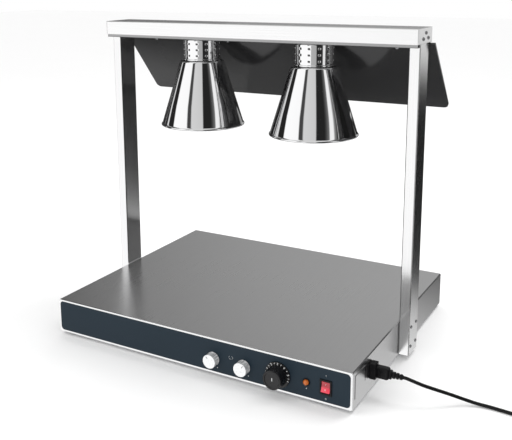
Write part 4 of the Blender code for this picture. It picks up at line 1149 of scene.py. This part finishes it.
def make_floor():
    """A flat white table top that stays out of reflections."""
    look = new_look("studio_floor")
    cloud = look.noise(look.point, 1.5, 2.0)
    white = look.mix(cloud, (0.955, 0.955, 0.955), (0.97, 0.97, 0.97))
    look.surface(Base_Color=white, Roughness=0.9, Specular_IOR_Level=0.1)
    x, y = np.meshgrid(*[np.linspace(-FLOOR_SPAN, FLOOR_SPAN, 9)] * 2, indexing="ij")
    points = np.stack([x, y, 0 * x], -1).reshape(-1, 3)
    mesh = mesh_of("floor", points, grid_faces(9, 9, False, False)[:, ::-1])
    mesh.materials.append(look.owner)
    floor = bpy.data.objects.new("floor", mesh)
    bpy.context.scene.collection.objects.link(floor)
    floor.visible_glossy = False


def softbox(name, place, target, size, power):
    """A square area light that shapes the shadows and stays out of reflections."""
    data = bpy.data.lights.new(name, "AREA")
    data.shape = "SQUARE"
    data.size = size
    data.energy = power
    made = bpy.data.objects.new(name, data)
    bpy.context.scene.collection.objects.link(made)
    made.location = place
    made.rotation_mode = "QUATERNION"
    made.rotation_quaternion = (Vector(target) - Vector(place)).to_track_quat("-Z", "Y")
    made.visible_glossy = False


STUDIO_SEAM = math.radians(-59.5)
# Panels seen above the horizon: compass angle from the seam's far side, and brightness.
HIGH_PANELS = [
    (-180, 0.16), (-150, 0.06), (-124, 0.03), (-122, 0.85), (-118, 0.85), (-116, 0.02), (-97, 0.02),
    (-95, 1.15), (-52, 1.12), (-49, 0.06), (-39, 0.07), (-36, 0.74), (0, 0.68), (3, 0.02),
    (27, 0.02), (33, 0.07), (41, 0.20), (43, 1.0), (54, 1.0), (57, 0.32), (65, 0.05), (71, 0.05),
    (73, 0.30), (77, 0.30), (80, 0.01), (134, 0.015), (140, 0.34), (180, 0.30),
]
# Panels seen level or below it, which the upright faces of the frame mirror.
LOW_PANELS = [
    (-180, 0.16), (-150, 0.06), (-124, 0.03), (-122, 0.85), (-118, 0.85), (-116, 0.02),
    (-100, 0.02), (-97, 1.15), (-28, 1.15), (-25, 0.50), (4, 0.45), (7, 0.02), (42, 0.03),
    (46, 0.90), (62, 0.90), (66, 0.01), (180, 0.02),
]
# What the plate mirrors from above and behind.
SKY_PANELS = [
    (-180, 0.42), (-173, 0.34), (-165, 0.08), (-152, 0.03), (-138, 0.03), (138, 0.56), (160, 0.54),
    (180, 0.43),
]
# What faces turned to the right mirror, by the height of the ray.
SIDE_STEPS = [
    (-1.0, 0.84), (-0.46, 0.82), (-0.405, 0.66), (-0.385, 0.46), (-0.362, 0.02), (-0.128, 0.01),
    (-0.100, 0.80), (0.03, 0.85), (0.05, 0.01), (0.34, 0.01), (0.40, 0.62), (1.0, 0.70),
]
# How far the side's steps lean with the compass angle, and the angle where they don't.
SIDE_LEAN = 1.6
SIDE_CENTRE = 0.869
# Bounds of the panels: shares of a turn across, and heights of the ray.
RIGHTWARD = (0.715, 0.90)
BEHIND = (0.115, 0.885)
HORIZON = 0.04
SIDE_HEIGHTS = (0.05, 0.34)
SKY_HEIGHT = 0.16
ZENITH_HEIGHT = 0.80


def make_world():
    """A white studio whose reflections hold upright white panels with dark gaps, by compass angle."""
    world = bpy.data.worlds.new("studio")
    bpy.context.scene.world = world
    world.cycles.sampling_method = "NONE"
    look = Look(world, GENERATED)
    height = look.z
    compass = look.node("ShaderNodeMath", {"operation": "ARCTAN2"}, look.y, look.x)
    across = look.node("ShaderNodeMath", {"operation": "FRACT"}, (compass - STUDIO_SEAM) / TURN + 1.5)

    def panels(table, low, span, where):
        stops = [((place - low) / span, tone) for place, tone in table]
        return look.node("ShaderNodeValToRGB", {"stops": stops}, where)

    high, level, sky = (panels(table, -180, 360, across) for table in (HIGH_PANELS, LOW_PANELS, SKY_PANELS))
    leaning = height + SIDE_LEAN * (across - SIDE_CENTRE)
    side = panels(SIDE_STEPS, -1, 2, (leaning + 1) / 2)
    rightward = (across > RIGHTWARD[0]) * (across < RIGHTWARD[1])
    behind = (height > SKY_HEIGHT) * ((across < BEHIND[0]) + (across > BEHIND[1]))
    mirrored = look.mix(height > HORIZON, level, high)
    beside = rightward * ((height < SIDE_HEIGHTS[0]) + (height > SIDE_HEIGHTS[1]))
    mirrored = look.mix(beside, mirrored, side)
    mirrored = look.mix(behind, mirrored, sky)
    mirrored = look.mix(height > ZENITH_HEIGHT, mirrored, (0.75, 0.75, 0.75))
    rays = look.node("ShaderNodeLightPath").socket.node
    glossy = Val(look, rays.outputs["Is Glossy Ray"])
    seen = Val(look, rays.outputs["Is Camera Ray"])
    soft = look.mix(seen, (1.03, 1.03, 1.03), (1.0, 1.0, 1.0))
    background = look.node("ShaderNodeBackground", {}, look.mix(glossy, soft, mirrored), 1.0)
    look.node("ShaderNodeOutputWorld", {}, background)


CAMERA_PLACE = (0.8922, -1.6367, 0.8457)
# Yaw, pitch and roll in radians.
CAMERA_TURN = (0.53182, 0.20334, -0.00922)


def make_camera():
    """The camera at its solved place and turn: it looks forward, and the roll turns side and top."""
    yaw, pitch, roll = CAMERA_TURN
    forward = Vector((-math.sin(yaw) * math.cos(pitch), math.cos(yaw) * math.cos(pitch), -math.sin(pitch)))
    right = Vector((math.cos(yaw), math.sin(yaw), 0.0))
    up = right.cross(forward)
    side = right * math.cos(roll) + up * math.sin(roll)
    top = up * math.cos(roll) - right * math.sin(roll)
    data = bpy.data.cameras.new("camera")
    data.sensor_width = 36.0
    data.lens = 56.22
    data.shift_x = 0.0547
    data.shift_y = -0.1563
    data.clip_start, data.clip_end = 0.05, 60.0
    made = bpy.data.objects.new("camera", data)
    bpy.context.scene.collection.objects.link(made)
    turn = Matrix((side, top, -forward)).transposed().to_4x4()
    made.matrix_world = Matrix.Translation(CAMERA_PLACE) @ turn
    bpy.context.scene.camera = made


bpy.context.scene.view_settings.view_transform = "Standard"
make_camera()
make_lead()
dress_frame()
for lamp in LAMP_SIDES:
    make_shade(lamp)
    make_neck(lamp)
    make_lamp(lamp)
    make_knob(lamp)
make_dial()
make_film_marks()
make_rating_bar()
make_pilot()
make_rocker()
make_rocker_bezel()
make_screws()
make_rim()
for corner in ("front_left", "front_right", "rear_left", "rear_right"):
    make_foot(corner)
make_floor()
make_world()
softbox("key", (0.9, 1.3, 2.8), (0.0, 0.0, 0.0), 1.4, 30)
softbox("fill", (-1.8, -1.6, 2.2), (0.0, 0.0, 0.2), 1.8, 10)
